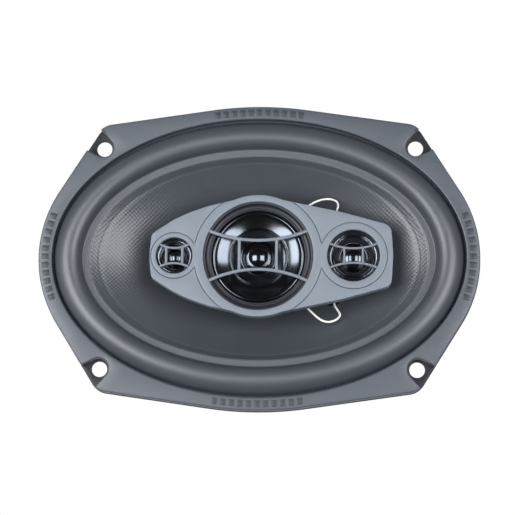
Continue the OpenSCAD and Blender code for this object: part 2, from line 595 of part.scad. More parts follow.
basket();
trim_ring();
top_plate();
magnet();
yoke();
plate_rivets();
stem();
stem_screw();
stem_washer();
pod_body();
pod_face();
pod_screws();
pod_lugs();
midrange_guard();
midrange_bezel();
midrange_pot();
midrange_magnet();
midrange_pole_plate();
tweeter_guard();
tweeter_horn();
tweeter_pot();
tweeter_magnet();
tweeter_pole_plate();
super_tweeter_guard();
super_tweeter_horn();
super_tweeter_pot();
super_tweeter_magnet();
midrange_capacitor();
tweeter_capacitor();
terminal_board();
positive_tab();
negative_tab();
terminal_rivets();
cone();
surround();
spider();
voice_coil_former();
voice_coil_winding();
dust_ring();
cone_eyelets();
coil_leads();
rear_tinsel_leads();
front_tinsel_leads();
midrange_diaphragm();
midrange_coil();
tweeter_dome();
tweeter_coil();
super_tweeter_dome();
super_tweeter_coil();
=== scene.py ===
"""Looks of an oval four-way coaxial car speaker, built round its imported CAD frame.

Every mesh is modelled in millimetres in the CAD's own frame and written to Blender in metres.
Each sub-assembly is a class that holds its sizes and makes its pieces; each finish is a material
made of shared node groups.
"""

import json
import logging
import math
from dataclasses import dataclass
from enum import Enum
from typing import Callable, Optional, Sequence

import bmesh
import bpy
from mathutils import Matrix, Vector
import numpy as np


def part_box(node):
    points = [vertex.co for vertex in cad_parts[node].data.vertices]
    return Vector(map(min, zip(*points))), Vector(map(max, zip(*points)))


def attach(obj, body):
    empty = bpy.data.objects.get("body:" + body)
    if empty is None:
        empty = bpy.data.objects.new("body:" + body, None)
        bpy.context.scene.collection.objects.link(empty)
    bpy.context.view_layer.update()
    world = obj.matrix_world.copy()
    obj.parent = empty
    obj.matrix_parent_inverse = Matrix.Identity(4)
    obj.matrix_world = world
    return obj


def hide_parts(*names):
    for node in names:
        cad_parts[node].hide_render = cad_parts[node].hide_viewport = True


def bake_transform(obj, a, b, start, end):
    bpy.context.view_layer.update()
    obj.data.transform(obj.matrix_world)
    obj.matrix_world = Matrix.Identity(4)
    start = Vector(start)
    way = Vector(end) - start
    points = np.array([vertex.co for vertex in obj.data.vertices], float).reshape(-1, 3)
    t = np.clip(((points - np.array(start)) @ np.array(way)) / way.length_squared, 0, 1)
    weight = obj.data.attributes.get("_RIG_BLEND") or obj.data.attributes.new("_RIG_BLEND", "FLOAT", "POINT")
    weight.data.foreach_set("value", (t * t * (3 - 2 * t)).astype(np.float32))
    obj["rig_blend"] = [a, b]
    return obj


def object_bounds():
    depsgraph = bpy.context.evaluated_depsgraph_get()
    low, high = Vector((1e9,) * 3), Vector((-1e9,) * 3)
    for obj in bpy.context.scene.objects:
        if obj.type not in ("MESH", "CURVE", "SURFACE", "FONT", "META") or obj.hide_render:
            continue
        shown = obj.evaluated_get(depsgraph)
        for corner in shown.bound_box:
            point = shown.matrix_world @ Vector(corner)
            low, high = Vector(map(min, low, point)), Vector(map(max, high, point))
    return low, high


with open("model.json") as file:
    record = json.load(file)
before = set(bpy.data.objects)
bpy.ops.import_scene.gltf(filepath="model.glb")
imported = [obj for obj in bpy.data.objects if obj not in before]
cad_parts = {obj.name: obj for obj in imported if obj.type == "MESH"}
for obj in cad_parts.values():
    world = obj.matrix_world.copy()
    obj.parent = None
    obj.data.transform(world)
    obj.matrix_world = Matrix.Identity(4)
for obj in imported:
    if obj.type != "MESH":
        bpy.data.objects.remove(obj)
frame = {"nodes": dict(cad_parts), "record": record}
CAD_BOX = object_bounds()

LOG = logging.getLogger("speaker")
MM = 0.001
TURN = 2 * math.pi
WELD = 1e-4
Loop = list[Vector]
Place = Callable[[int, int], Vector]


class Body(Enum):
    """The rigid bodies of the frame."""

    FRAME = "frame"
    CONE = "cone_assembly"
    MIDRANGE = "midrange_assembly"
    TWEETER = "tweeter_assembly"
    SUPER_TWEETER = "super_tweeter_assembly"


class Group(Enum):
    """The shader node groups that several finishes share."""

    GRAIN = "moulded_grain"
    MOTTLE = "mottled_tone"
    WEAVE = "woven_relief"
    RINGS = "turned_rings"
    SOIL = "settled_dust"


# ---------------------------------------------------------------- shader groups


def new_group(kind: Group, inputs: dict[str, tuple[str, object]],
              outputs: dict[str, str]) -> bpy.types.NodeTree:
    """Makes an empty shader group with named sockets.

    Args:
        kind: The group's name.
        inputs: Socket name to its type and default.
        outputs: Socket name to its type.

    Returns:
        The node tree, with its Group Input and Group Output nodes.
    """
    tree = bpy.data.node_groups.new(kind.value, "ShaderNodeTree")
    for name, (kind_of, default) in inputs.items():
        socket = tree.interface.new_socket(name, in_out="INPUT", socket_type=kind_of)
        if default is not None:
            socket.default_value = default
    for name, kind_of in outputs.items():
        tree.interface.new_socket(name, in_out="OUTPUT", socket_type=kind_of)
    tree.nodes.new("NodeGroupInput").name = "in"
    tree.nodes.new("NodeGroupOutput").name = "out"
    return tree


def math_node(tree: bpy.types.NodeTree, operation: str, *values: object) -> bpy.types.NodeSocket:
    """Adds a Math node.

    Args:
        tree: Where the node goes.
        operation: The node's operation.
        values: A socket to link or a number, for each input in turn.

    Returns:
        The node's output socket.
    """
    node = tree.nodes.new("ShaderNodeMath")
    node.operation = operation
    for socket, value in zip(node.inputs, values):
        if isinstance(value, bpy.types.NodeSocket):
            tree.links.new(value, socket)
        else:
            socket.default_value = value
    return node.outputs[0]


def noise_node(tree: bpy.types.NodeTree, vector: object, scale: object,
               detail: float) -> bpy.types.NodeSocket:
    """Adds a Noise Texture and gives its factor.

    Args:
        tree: Where the node goes.
        vector: The socket with the coordinates.
        scale: A socket or a number.
        detail: The noise's detail.

    Returns:
        The factor's socket.
    """
    node = tree.nodes.new("ShaderNodeTexNoise")
    node.inputs["Detail"].default_value = detail
    tree.links.new(vector, node.inputs["Vector"])
    if isinstance(scale, bpy.types.NodeSocket):
        tree.links.new(scale, node.inputs["Scale"])
    else:
        node.inputs["Scale"].default_value = scale
    return node.outputs["Fac"]


def bump_node(tree: bpy.types.NodeTree, height: object, strength: object,
              distance: object) -> bpy.types.NodeSocket:
    """Adds a Bump node.

    Args:
        tree: Where the node goes.
        height: The socket with the relief.
        strength: A socket or a number.
        distance: A socket or a number, in metres.

    Returns:
        The normal's socket.
    """
    node = tree.nodes.new("ShaderNodeBump")
    tree.links.new(height, node.inputs["Height"])
    for name, value in (("Strength", strength), ("Distance", distance)):
        if isinstance(value, bpy.types.NodeSocket):
            tree.links.new(value, node.inputs[name])
        else:
            node.inputs[name].default_value = value
    return node.outputs["Normal"]


def mix_node(tree: bpy.types.NodeTree, factor: object, first: object, second: object) -> bpy.types.NodeSocket:
    """Mixes two colours.

    Args:
        tree: Where the node goes.
        factor: The socket or number that says how much of the second shows.
        first: A colour socket or value.
        second: A colour socket or value.

    Returns:
        The colour's socket.
    """
    node = tree.nodes.new("ShaderNodeMix")
    node.data_type = "RGBA"
    for name, value in (("Factor_Float", factor), ("A_Color", first), ("B_Color", second)):
        socket = next(s for s in node.inputs if s.identifier == name)
        if isinstance(value, bpy.types.NodeSocket):
            tree.links.new(value, socket)
        else:
            socket.default_value = value
    return next(s for s in node.outputs if s.identifier == "Result_Color")


def build_grain() -> None:
    """Builds the group for the fine sparked grain of moulded plastic and paint."""
    tree = new_group(
        Group.GRAIN,
        {"Vector": ("NodeSocketVector", None), "Scale": ("NodeSocketFloat", 1500.0),
         "Strength": ("NodeSocketFloat", 0.3)},
        {"Normal": "NodeSocketVector", "Height": "NodeSocketFloat"},
    )
    source, out = tree.nodes["in"].outputs, tree.nodes["out"].inputs
    height = noise_node(tree, source["Vector"], source["Scale"], 3.0)
    tree.links.new(height, out["Height"])
    tree.links.new(bump_node(tree, height, source["Strength"], 0.00012), out["Normal"])


def build_mottle() -> None:
    """Builds the group that varies a colour and a roughness softly over a surface."""
    tree = new_group(
        Group.MOTTLE,
        {"Vector": ("NodeSocketVector", None), "Scale": ("NodeSocketFloat", 60.0),
         "Light": ("NodeSocketColor", (0.5, 0.5, 0.5, 1)), "Dark": ("NodeSocketColor", (0.4, 0.4, 0.4, 1)),
         "Roughness": ("NodeSocketFloat", 0.5), "Spread": ("NodeSocketFloat", 0.08)},
        {"Color": "NodeSocketColor", "Roughness": "NodeSocketFloat"},
    )
    source, out = tree.nodes["in"].outputs, tree.nodes["out"].inputs
    cloud = noise_node(tree, source["Vector"], source["Scale"], 6.0)
    tree.links.new(mix_node(tree, cloud, source["Dark"], source["Light"]), out["Color"])
    swing = math_node(tree, "MULTIPLY", math_node(tree, "SUBTRACT", cloud, 0.5), source["Spread"])
    tree.links.new(math_node(tree, "ADD", source["Roughness"], swing), out["Roughness"])


def build_weave() -> None:
    """Builds the group for a plain weave: threads that pass over and under each other on a square grid."""
    tree = new_group(
        Group.WEAVE,
        {"Vector": ("NodeSocketVector", None), "Pitch": ("NodeSocketFloat", 0.001),
         "Strength": ("NodeSocketFloat", 0.5)},
        {"Normal": "NodeSocketVector", "Height": "NodeSocketFloat"},
    )
    source, out = tree.nodes["in"].outputs, tree.nodes["out"].inputs
    split = tree.nodes.new("ShaderNodeSeparateXYZ")
    tree.links.new(source["Vector"], split.inputs[0])
    per_thread = math_node(tree, "DIVIDE", math.pi, source["Pitch"])
    across = math_node(tree, "SINE", math_node(tree, "MULTIPLY", split.outputs["X"], per_thread))
    along = math_node(tree, "SINE", math_node(tree, "MULTIPLY", split.outputs["Y"], per_thread))
    height = math_node(tree, "MULTIPLY_ADD", math_node(tree, "MULTIPLY", across, along), 0.5, 0.5)
    tree.links.new(height, out["Height"])
    tree.links.new(bump_node(tree, height, source["Strength"], 0.0003), out["Normal"])


def build_rings() -> None:
    """Builds the group for the fine circular tool marks of a turned or ground face, round the Z axis."""
    tree = new_group(
        Group.RINGS,
        {"Vector": ("NodeSocketVector", None), "Pitch": ("NodeSocketFloat", 0.0006),
         "Strength": ("NodeSocketFloat", 0.3)},
        {"Normal": "NodeSocketVector", "Height": "NodeSocketFloat"},
    )
    source, out = tree.nodes["in"].outputs, tree.nodes["out"].inputs
    flat = tree.nodes.new("ShaderNodeVectorMath")
    flat.operation = "MULTIPLY"
    flat.inputs[1].default_value = (1, 1, 0.35)
    tree.links.new(source["Vector"], flat.inputs[0])
    length = tree.nodes.new("ShaderNodeVectorMath")
    length.operation = "LENGTH"
    tree.links.new(flat.outputs[0], length.inputs[0])
    turns = math_node(tree, "MULTIPLY", math_node(tree, "DIVIDE", length.outputs["Value"],
                                                  source["Pitch"]), TURN)
    chatter = math_node(tree, "MULTIPLY", noise_node(tree, source["Vector"], 400.0, 4.0), 4.0)
    ripple = math_node(tree, "SINE", math_node(tree, "ADD", turns, chatter))
    height = math_node(tree, "MULTIPLY_ADD", ripple, 0.5, 0.5)
    tree.links.new(height, out["Height"])
    tree.links.new(bump_node(tree, height, source["Strength"], 0.00008), out["Normal"])


def build_soil() -> None:
    """Builds the group that lays a little pale dust on surfaces that face up."""
    tree = new_group(
        Group.SOIL,
        {"Vector": ("NodeSocketVector", None), "Color": ("NodeSocketColor", (0.1, 0.1, 0.1, 1)),
         "Dust": ("NodeSocketColor", (0.35, 0.35, 0.36, 1)), "Amount": ("NodeSocketFloat", 0.05)},
        {"Color": "NodeSocketColor", "Mask": "NodeSocketFloat"},
    )
    source, out = tree.nodes["in"].outputs, tree.nodes["out"].inputs
    geometry = tree.nodes.new("ShaderNodeNewGeometry")
    split = tree.nodes.new("ShaderNodeSeparateXYZ")
    tree.links.new(geometry.outputs["Normal"], split.inputs[0])
    facing = math_node(tree, "MAXIMUM", split.outputs["Z"], 0.0)
    cloud = noise_node(tree, source["Vector"], 45.0, 8.0)
    mask = math_node(tree, "MULTIPLY", math_node(tree, "MULTIPLY", facing, cloud), source["Amount"])
    tree.links.new(mask, out["Mask"])
    tree.links.new(mix_node(tree, mask, source["Color"], source["Dust"]), out["Color"])


# ---------------------------------------------------------------- finishes


@dataclass(frozen=True)
class Finish:
    """A material: its two tones, its gloss, its relief and its dust.

    Attributes:
        name: The material's name.
        light: The lighter tone, as linear red, green and blue.
        dark: The darker tone.
        roughness: The mean roughness.
        metallic: 0 or 1.
        relief: The group that gives the surface its relief.
        relief_size: The relief's scale or pitch, as its group takes it.
        relief_strength: How deep the relief looks.
        coat: The weight of a clear coat.
        sheen: The weight of the sheen.
        specular: The specular level.
        dust: How much dust lies on it.
        spread: How much the roughness varies.
        patches: The scale of the colour's variation.
        on_uv: True where the relief follows the piece's own UV map, in metres.
    """

    name: str
    light: tuple[float, float, float]
    dark: tuple[float, float, float]
    roughness: float = 0.5
    metallic: float = 0.0
    relief: Group = Group.GRAIN
    relief_size: float = 1500.0
    relief_strength: float = 0.3
    coat: float = 0.0
    sheen: float = 0.0
    specular: float = 0.5
    dust: float = 0.03
    spread: float = 0.08
    patches: float = 60.0
    on_uv: bool = False

    def make(self) -> bpy.types.Material:
        """Makes the material.

        Returns:
            The new material.
        """
        material = bpy.data.materials.new(self.name)
        material.use_nodes = True
        tree = material.node_tree
        shader = tree.nodes["Principled BSDF"]
        coordinates = tree.nodes.new("ShaderNodeTexCoord")
        place = coordinates.outputs["Object"]
        tone = self._group(tree, Group.MOTTLE, place, {
            "Scale": self.patches, "Light": (*self.light, 1), "Dark": (*self.dark, 1),
            "Roughness": self.roughness, "Spread": self.spread})
        soil = self._group(tree, Group.SOIL, place, {"Amount": self.dust})
        tree.links.new(tone.outputs["Color"], soil.inputs["Color"])
        tree.links.new(soil.outputs["Color"], shader.inputs["Base Color"])
        tree.links.new(tone.outputs["Roughness"], shader.inputs["Roughness"])
        size = "Scale" if self.relief is Group.GRAIN else "Pitch"
        relief = self._group(tree, self.relief, coordinates.outputs["UV"] if self.on_uv else place, {
            size: self.relief_size, "Strength": self.relief_strength})
        tree.links.new(relief.outputs["Normal"], shader.inputs["Normal"])
        shader.inputs["Metallic"].default_value = self.metallic
        shader.inputs["Coat Weight"].default_value = self.coat
        shader.inputs["Coat Roughness"].default_value = 0.12
        shader.inputs["Sheen Weight"].default_value = self.sheen
        shader.inputs["Specular IOR Level"].default_value = self.specular
        return material

    def _group(self, tree: bpy.types.NodeTree, kind: Group, place: bpy.types.NodeSocket,
               values: dict[str, object]) -> bpy.types.Node:
        """Places a shared group in the material.

        Args:
            tree: The material's nodes.
            kind: Which group.
            place: The coordinates that it reads.
            values: Input name to value.

        Returns:
            The group's node.
        """
        node = tree.nodes.new("ShaderNodeGroup")
        node.node_tree = bpy.data.node_groups[kind.value]
        tree.links.new(place, node.inputs["Vector"])
        for name, value in values.items():
            node.inputs[name].default_value = value
        return node


class Look(Enum):
    """The finishes of the object, each named for the record's material slot that it shows."""

    black_steel = Finish("black_steel", (0.013, 0.0135, 0.016), (0.009, 0.0095, 0.011), 0.4,
                         relief_size=900.0, relief_strength=0.12, dust=0.03, specular=0.3)
    trim_plastic = Finish("trim_plastic", (0.056, 0.065, 0.079), (0.049, 0.057, 0.07), 0.42,
                          relief_size=1700.0, relief_strength=0.22, dust=0.03, specular=0.9)
    plated_steel = Finish("plated_steel", (0.62, 0.61, 0.58), (0.5, 0.5, 0.48), 0.28, metallic=1.0,
                          relief=Group.RINGS, relief_size=0.0007, relief_strength=0.25, spread=0.15,
                          dust=0.02)
    ferrite = Finish("ferrite", (0.05, 0.05, 0.054), (0.033, 0.033, 0.036), 0.5,
                     relief_size=700.0, relief_strength=0.25, dust=0.06, specular=0.6)
    black_plastic = Finish("black_plastic", (0.018, 0.02, 0.027), (0.012, 0.0135, 0.018), 0.38,
                           relief_size=1500.0, relief_strength=0.2)
    gloss_black = Finish("gloss_black", (0.012, 0.0125, 0.016), (0.008, 0.0085, 0.011), 0.16,
                         relief_size=400.0, relief_strength=0.02, coat=0.3, dust=0.01)
    zinc_steel = Finish("zinc_steel", (0.72, 0.71, 0.66), (0.6, 0.6, 0.57), 0.3, metallic=1.0,
                        relief_size=900.0, relief_strength=0.1, spread=0.15, dust=0.02)
    # trim_relief is darker than trim_plastic: partly the lettering's own darker gloss, partly painted shade
    # standing in for the shadows round the raised lettering.
    trim_relief = Finish("trim_relief", (0.032, 0.037, 0.046), (0.026, 0.031, 0.039), 0.42,
                         relief_size=1700.0, relief_strength=0.25)
    pod_plastic = Finish("pod_plastic", (0.172, 0.194, 0.222), (0.159, 0.18, 0.207), 0.46,
                         relief_size=1900.0, relief_strength=0.22, dust=0.04)
    tinned_brass = Finish("tinned_brass", (0.78, 0.73, 0.58), (0.66, 0.6, 0.44), 0.27, metallic=1.0,
                          relief_size=800.0, relief_strength=0.08, spread=0.15, dust=0.0)
    nickel = Finish("nickel", (0.7, 0.7, 0.7), (0.6, 0.6, 0.6), 0.25, metallic=1.0,
                    relief_size=800.0, relief_strength=0.05, dust=0.0)
    chromed_plastic = Finish("chromed_plastic", (0.42, 0.44, 0.47), (0.37, 0.39, 0.42), 0.1, metallic=1.0,
                             relief_size=90.0, relief_strength=0.02, spread=0.03, dust=0.0)
    blue_sleeve = Finish("blue_sleeve", (0.022, 0.05, 0.2), (0.016, 0.036, 0.15), 0.3,
                         relief_size=500.0, relief_strength=0.06, coat=0.3)
    board = Finish("board", (0.055, 0.04, 0.028), (0.036, 0.027, 0.02), 0.55,
                   relief_size=1100.0, relief_strength=0.3)
    cone_poly = Finish("cone_poly", (0.052, 0.058, 0.067), (0.044, 0.05, 0.058), 0.36,
                       relief=Group.WEAVE, relief_size=0.0011, relief_strength=0.24, dust=0.02, specular=1.0)
    surround_rubber = Finish("surround_rubber", (0.05, 0.056, 0.066), (0.043, 0.048, 0.057), 0.42,
                             relief_size=1300.0, relief_strength=0.14, dust=0.02, specular=1.0)
    spider_cloth = Finish("spider_cloth", (0.55, 0.37, 0.14), (0.42, 0.27, 0.09), 0.62,
                          relief=Group.WEAVE, relief_size=0.0008, relief_strength=0.8, sheen=0.2)
    former_film = Finish("former_film", (0.5, 0.34, 0.15), (0.42, 0.28, 0.12), 0.3,
                         relief_size=300.0, relief_strength=0.05)
    copper_wire = Finish("copper_wire", (0.75, 0.33, 0.14), (0.6, 0.24, 0.1), 0.3, metallic=1.0,
                         relief_size=1500.0, relief_strength=0.3)
    felt = Finish("felt", (0.03, 0.03, 0.03), (0.018, 0.018, 0.018), 0.9,
                  relief_size=1200.0, relief_strength=0.9, sheen=0.3)
    tinsel = Finish("tinsel", (0.95, 0.94, 0.9), (0.85, 0.84, 0.8), 0.34, metallic=0.0,
                    relief=Group.WEAVE, relief_size=0.00045, relief_strength=0.9, dust=0.0, on_uv=True)
    metallised_film = Finish("metallised_film", (0.13, 0.142, 0.158), (0.118, 0.13, 0.145), 0.15,
                             metallic=1.0,
                             relief_size=120.0, relief_strength=0.03, spread=0.04, dust=0.0)
    solder = Finish("solder", (0.7, 0.7, 0.7), (0.55, 0.55, 0.56), 0.25, metallic=1.0,
                    relief_size=600.0, relief_strength=0.1, dust=0.0)


MATERIALS: dict[Look, bpy.types.Material] = {}


def material_of(look: Look) -> bpy.types.Material:
    """Gives a finish's material and makes it the first time.

    Args:
        look: The finish.

    Returns:
        The material.
    """
    if look not in MATERIALS:
        MATERIALS[look] = look.value.make()
    return MATERIALS[look]


# ---------------------------------------------------------------- shapes


def ellipse(a: float, b: float, z: float, angle: float) -> Vector:
    """Gives the point of a level ellipse at a parameter angle, in millimetres."""
    return Vector((a * math.cos(angle), b * math.sin(angle), z))


def arc(x: float, y: float, r: float, start: float, end: float, steps: int) -> list[tuple[float, float]]:
    """Gives points along an arc.

    Args:
        x: The centre's first coordinate.
        y: The centre's second coordinate.
        r: The radius.
        start: The first point's angle, in degrees.
        end: The last point's angle, in degrees.
        steps: How many steps the arc takes.

    Returns:
        The points, both ends included.
    """
    angles = [math.radians(start + (end - start) * i / steps) for i in range(steps + 1)]
    return [(x + r * math.cos(t), y + r * math.sin(t)) for t in angles]


def softened(points: Sequence[tuple[float, float]], radius: float, steps: int = 3,
             closed: bool = True) -> list[tuple[float, float]]:
    """Rounds the corners of an outline or a profile.

    Args:
        points: The corners.
        radius: The most that a corner is rounded by.
        steps: How many steps each round takes.
        closed: False where the line has two ends, which stay.

    Returns:
        The rounded line.
    """
    count = len(points)
    out: list[tuple[float, float]] = []
    for i, (x, y) in enumerate(points):
        if not closed and i in (0, count - 1):
            out.append((x, y))
            continue
        corner = Vector((x, y))
        back = Vector(points[i - 1]) - corner
        ahead = Vector(points[(i + 1) % count]) - corner
        reach = min(radius, 0.45 * back.length, 0.45 * ahead.length)
        first, last = corner + back.normalized() * reach, corner + ahead.normalized() * reach
        for k in range(steps + 1):
            t = k / steps
            p = first * (1 - t) ** 2 + corner * 2 * t * (1 - t) + last * t ** 2
            out.append((p.x, p.y))
    return out


def inset(points: Sequence[Vector], distance: float) -> Loop:
    """Moves an anticlockwise outline inwards by a small distance.

    Args:
        points: The outline.
        distance: How far it moves, in millimetres; negative moves it outwards.

    Returns:
        The moved outline, with the same count of points.
    """
    out = []
    count = len(points)
    for i, p in enumerate(points):
        back, ahead = (p - points[i - 1]).xy.normalized(), (points[(i + 1) % count] - p).xy.normalized()
        normals = Vector((-back.y, back.x)), Vector((-ahead.y, ahead.x))
        middle = (normals[0] + normals[1]).normalized()
        share = max(0.5, middle.dot(normals[0]))
        out.append(Vector((p.x + middle.x * distance / share, p.y + middle.y * distance / share, p.z)))
    return out


def tangent_angle(first: tuple[float, float, float], second: tuple[float, float, float]) -> float:
    """Gives the angle, in degrees, at which the outer tangent of two circles (x, y, r) leaves them."""
    dx, dy = second[0] - first[0], second[1] - first[1]
    lean = math.asin((first[2] - second[2]) / math.hypot(dx, dy))
    return math.degrees(math.atan2(dy, dx) - math.pi / 2 + lean)


class Mould:
    """A mesh under construction, in millimetres."""

    def __init__(self) -> None:
        """Starts an empty mesh with a UV map."""
        self.bm = bmesh.new()
        self.bm.loops.layers.uv.new("map")

    def wrap(self, place: Place, around: int, along: int,
             uv: Optional[tuple[float, float]] = None) -> "Mould":
        """Lays a grid over a surface.

        Args:
            place: Gives the point for a step around and a step along.
            around: Steps around; the last one may fall on the first.
            along: Steps along.
            uv: The surface's length around and along, in metres, for the UV map.

        Returns:
            The mould.
        """
        made = bmesh.ops.create_grid(self.bm, x_segments=around, y_segments=along, size=0.5, calc_uvs=True)
        steps = {v: (round((v.co.x + 0.5) * around), round((v.co.y + 0.5) * along)) for v in made["verts"]}
        if uv:
            layer = self.bm.loops.layers.uv.active
            for face in {f for v in made["verts"] for f in v.link_faces}:
                for loop in face.loops:
                    i, j = steps[loop.vert]
                    loop[layer].uv = (uv[0] * i / around, uv[1] * j / along)
        for v, (i, j) in steps.items():
            v.co = place(i, j)
        return self

    def turn(self, profile: Sequence[tuple[float, float]], steps: int = 96, closed: bool = True,
             at: tuple[float, float] = (0.0, 0.0)) -> "Mould":
        """Spins a profile of radius and height round the Z axis.

        Args:
            profile: The points (radius, height).
            steps: How many steps the turn takes.
            closed: True where the profile's last point joins its first.
            at: Where the axis stands.

        Returns:
            The mould.
        """
        verts = [self.bm.verts.new((at[0] + r, at[1], z)) for r, z in profile]
        pairs = list(zip(verts, verts[1:])) + ([(verts[-1], verts[0])] if closed else [])
        edges = [self.bm.edges.new(pair) for pair in pairs]
        bmesh.ops.spin(self.bm, geom=verts + edges, cent=(at[0], at[1], 0), axis=(0, 0, 1), angle=TURN,
                       steps=steps, use_merge=True, use_duplicate=False)
        return self

    def slab(self, contours: Sequence[Sequence[Vector]], low: float, high: float, soft: float = 0.3,
             steps: int = 3) -> "Mould":
        """Makes a plate with rounded upper edges and chamfered lower ones from an outline and its holes.

        Args:
            contours: The anticlockwise outline, then the clockwise holes.
            low: The plate's lower face.
            high: Its upper face.
            soft: The radius of its upper edges.
            steps: How many steps each rounded edge takes.

        Returns:
            The mould.
        """
        rims: dict[float, list[bmesh.types.BMVert]] = {low: [], high: []}
        stack = [(soft / 2, low), (0.0, low + soft / 2), (0.0, high - soft)]
        quarter = [math.pi / 2 * k / steps for k in range(1, steps + 1)]
        stack += [(soft * (1 - math.cos(t)), high - soft + soft * math.sin(t)) for t in quarter]
        faces = []
        for contour in contours:
            levels = [[Vector((p.x, p.y, z)) for p in inset(contour, d)] for d, z in stack]
            rows = [[self.bm.verts.new(p) for p in level] for level in levels]
            count = len(contour)
            for lower, upper in zip(rows, rows[1:]):
                for i in range(count):
                    k = (i + 1) % count
                    self.bm.faces.new((lower[i], lower[k], upper[k], upper[i]))
            rims[low].append(rows[0])
            rims[high].append(rows[-1])
        for rows in rims.values():
            edges = [self.bm.edges.get((row[i - 1], row[i])) for row in rows for i in range(len(row))]
            faces += bmesh.ops.triangle_fill(self.bm, edges=edges, use_beauty=True)["geom"]
        return self

    def block(self, size: Sequence[float], soft: float, transform: Matrix, segments: int = 2) -> "Mould":
        """Adds a box with rounded edges.

        Args:
            size: Its length, width and height.
            soft: The radius of its edges.
            transform: Where it stands.
            segments: Steps of each rounded edge.

        Returns:
            The mould.
        """
        made = bmesh.ops.create_cube(self.bm, size=1.0, matrix=transform @ Matrix.Diagonal((*size, 1)))
        edges = list({e for v in made["verts"] for e in v.link_edges})
        bmesh.ops.bevel(self.bm, geom=edges, offset=soft, offset_type="OFFSET", affect="EDGES",
                        segments=segments, profile=0.5, material=-1, clamp_overlap=True)
        return self

    def sweep(self, path: Sequence[Vector], section: Sequence[tuple[float, float]],
              up: Vector = Vector((0, 0, 1)),
              capped: bool = True) -> "Mould":
        """Carries a closed section along a path.

        Args:
            path: The points that it follows.
            section: The section's outline: across the path, and along up.
            up: The direction that the section's second axis leans to.
            capped: True to close both ends.

        Returns:
            The mould.
        """
        frames = []
        for i, p in enumerate(path):
            ahead = (path[min(i + 1, len(path) - 1)] - path[max(i - 1, 0)]).normalized()
            side = ahead.cross(up).normalized()
            frames.append((p, side, side.cross(ahead)))
        count = len(section)
        perimeter = sum((Vector(section[k]) - Vector(section[k - 1])).length for k in range(count))
        length = sum((b - a).length for a, b in zip(path, path[1:]))

        def place(i: int, j: int) -> Vector:
            """Gives the point of section step i at path step j."""
            p, side, lift = frames[j]
            s, t = section[i % count]
            return p + side * s + lift * t

        self.wrap(place, count, len(path) - 1, uv=(perimeter * MM, length * MM))
        if capped:
            self.weld()
            rims = [e for e in self.bm.edges if e.is_boundary]
            bmesh.ops.holes_fill(self.bm, edges=rims, sides=count + 1)
        return self

    def weld(self) -> "Mould":
        """Merges points that fall together."""
        bmesh.ops.remove_doubles(self.bm, verts=self.bm.verts, dist=WELD)
        return self

    def mirrored(self, axis: str) -> "Mould":
        """Adds the mirror image across a plane through the origin.

        Args:
            axis: "X" or "Y", the plane's normal.

        Returns:
            The mould.
        """
        geometry = self.bm.verts[:] + self.bm.edges[:] + self.bm.faces[:]
        copy = bmesh.ops.duplicate(self.bm, geom=geometry)["geom"]
        verts = [v for v in copy if isinstance(v, bmesh.types.BMVert)]
        bmesh.ops.scale(self.bm, verts=verts, vec=(-1, 1, 1) if axis == "X" else (1, -1, 1))
        return self

    def moved(self, transform: Matrix) -> "Mould":
        """Moves all that is in the mould by a matrix."""
        bmesh.ops.transform(self.bm, matrix=transform, verts=self.bm.verts)
        return self

    def piece(self, name: str, look: Look, sharp: float = 35.0) -> bpy.types.Object:
        """Turns the mould out as an object with its finish.

        Args:
            name: The piece's name.
            look: Its finish.
            sharp: Edges that turn by more than this many degrees stay sharp.

        Returns:
            The new object.
        """
        self.weld()
        bmesh.ops.recalc_face_normals(self.bm, faces=self.bm.faces)
        bmesh.ops.scale(self.bm, verts=self.bm.verts, vec=(MM, MM, MM))
        mesh = bpy.data.meshes.new(name)
        self.bm.to_mesh(mesh)
        self.bm.free()
        mesh.shade_smooth()
        mesh.set_sharp_from_angle(angle=math.radians(sharp))
        mesh.materials.append(material_of(look))
        made = bpy.data.objects.new(name, mesh)
        bpy.context.scene.collection.objects.link(made)
        return made


def settle(piece: bpy.types.Object, body: Body, *nodes: str) -> bpy.types.Object:
    """Makes a piece ride on a body and stand for its CAD nodes, and reports it.

    Args:
        piece: The piece.
        body: The body that it moves with.
        nodes: The CAD nodes that it replaces.

    Returns:
        The piece.
    """
    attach(piece, body.value)
    if nodes:
        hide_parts(*nodes)
    LOG.info("%s: %d faces, on %s", piece.name, len(piece.data.polygons), body.value)
    return piece


def bend(piece: bpy.types.Object, share: Callable[[Vector], float], *nodes: str) -> bpy.types.Object:
    """Makes a piece bend between the frame and the cone by a share of its own for each point.

    Args:
        piece: The piece.
        share: Gives how much of the cone's travel a point takes, from a point in millimetres.
        nodes: The CAD nodes that it replaces.

    Returns:
        The piece.
    """
    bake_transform(piece, Body.FRAME.value, Body.CONE.value, start=(0, 0, 0), end=(0, 0, MM))
    weights = piece.data.attributes["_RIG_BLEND"].data
    for vertex, weight in zip(piece.data.vertices, weights):
        t = min(1.0, max(0.0, share(vertex.co / MM)))
        weight.value = t * t * (3 - 2 * t)
    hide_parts(*nodes)
    LOG.info("%s: %d faces, bends with the cone", piece.name, len(piece.data.polygons))
    return piece


def box_mm(node: str) -> tuple[Vector, Vector]:
    """Gives a CAD node's lowest and highest corners, in millimetres."""
    low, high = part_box(node)
    return low / MM, high / MM


def smooth_path(points: Sequence[Sequence[float]], steps: int = 5) -> list[Vector]:
    """Runs a smooth curve through the points of a lead.

    Args:
        points: The points, in millimetres.
        steps: Steps between two points.

    Returns:
        The curve's points.
    """
    knots = [Vector(p) for p in points]
    knots = [knots[0] * 2 - knots[1], *knots, knots[-1] * 2 - knots[-2]]
    out = []
    for a, b, c, d in zip(knots, knots[1:], knots[2:], knots[3:]):
        for k in range(steps):
            t = k / steps
            out.append(0.5 * (2 * b + (c - a) * t + (2 * a - 5 * b + 4 * c - d) * t * t
                              + (3 * b - a - 3 * c + d) * t ** 3))
    return [*out, knots[-2]]


# ---------------------------------------------------------------- basket and front ring


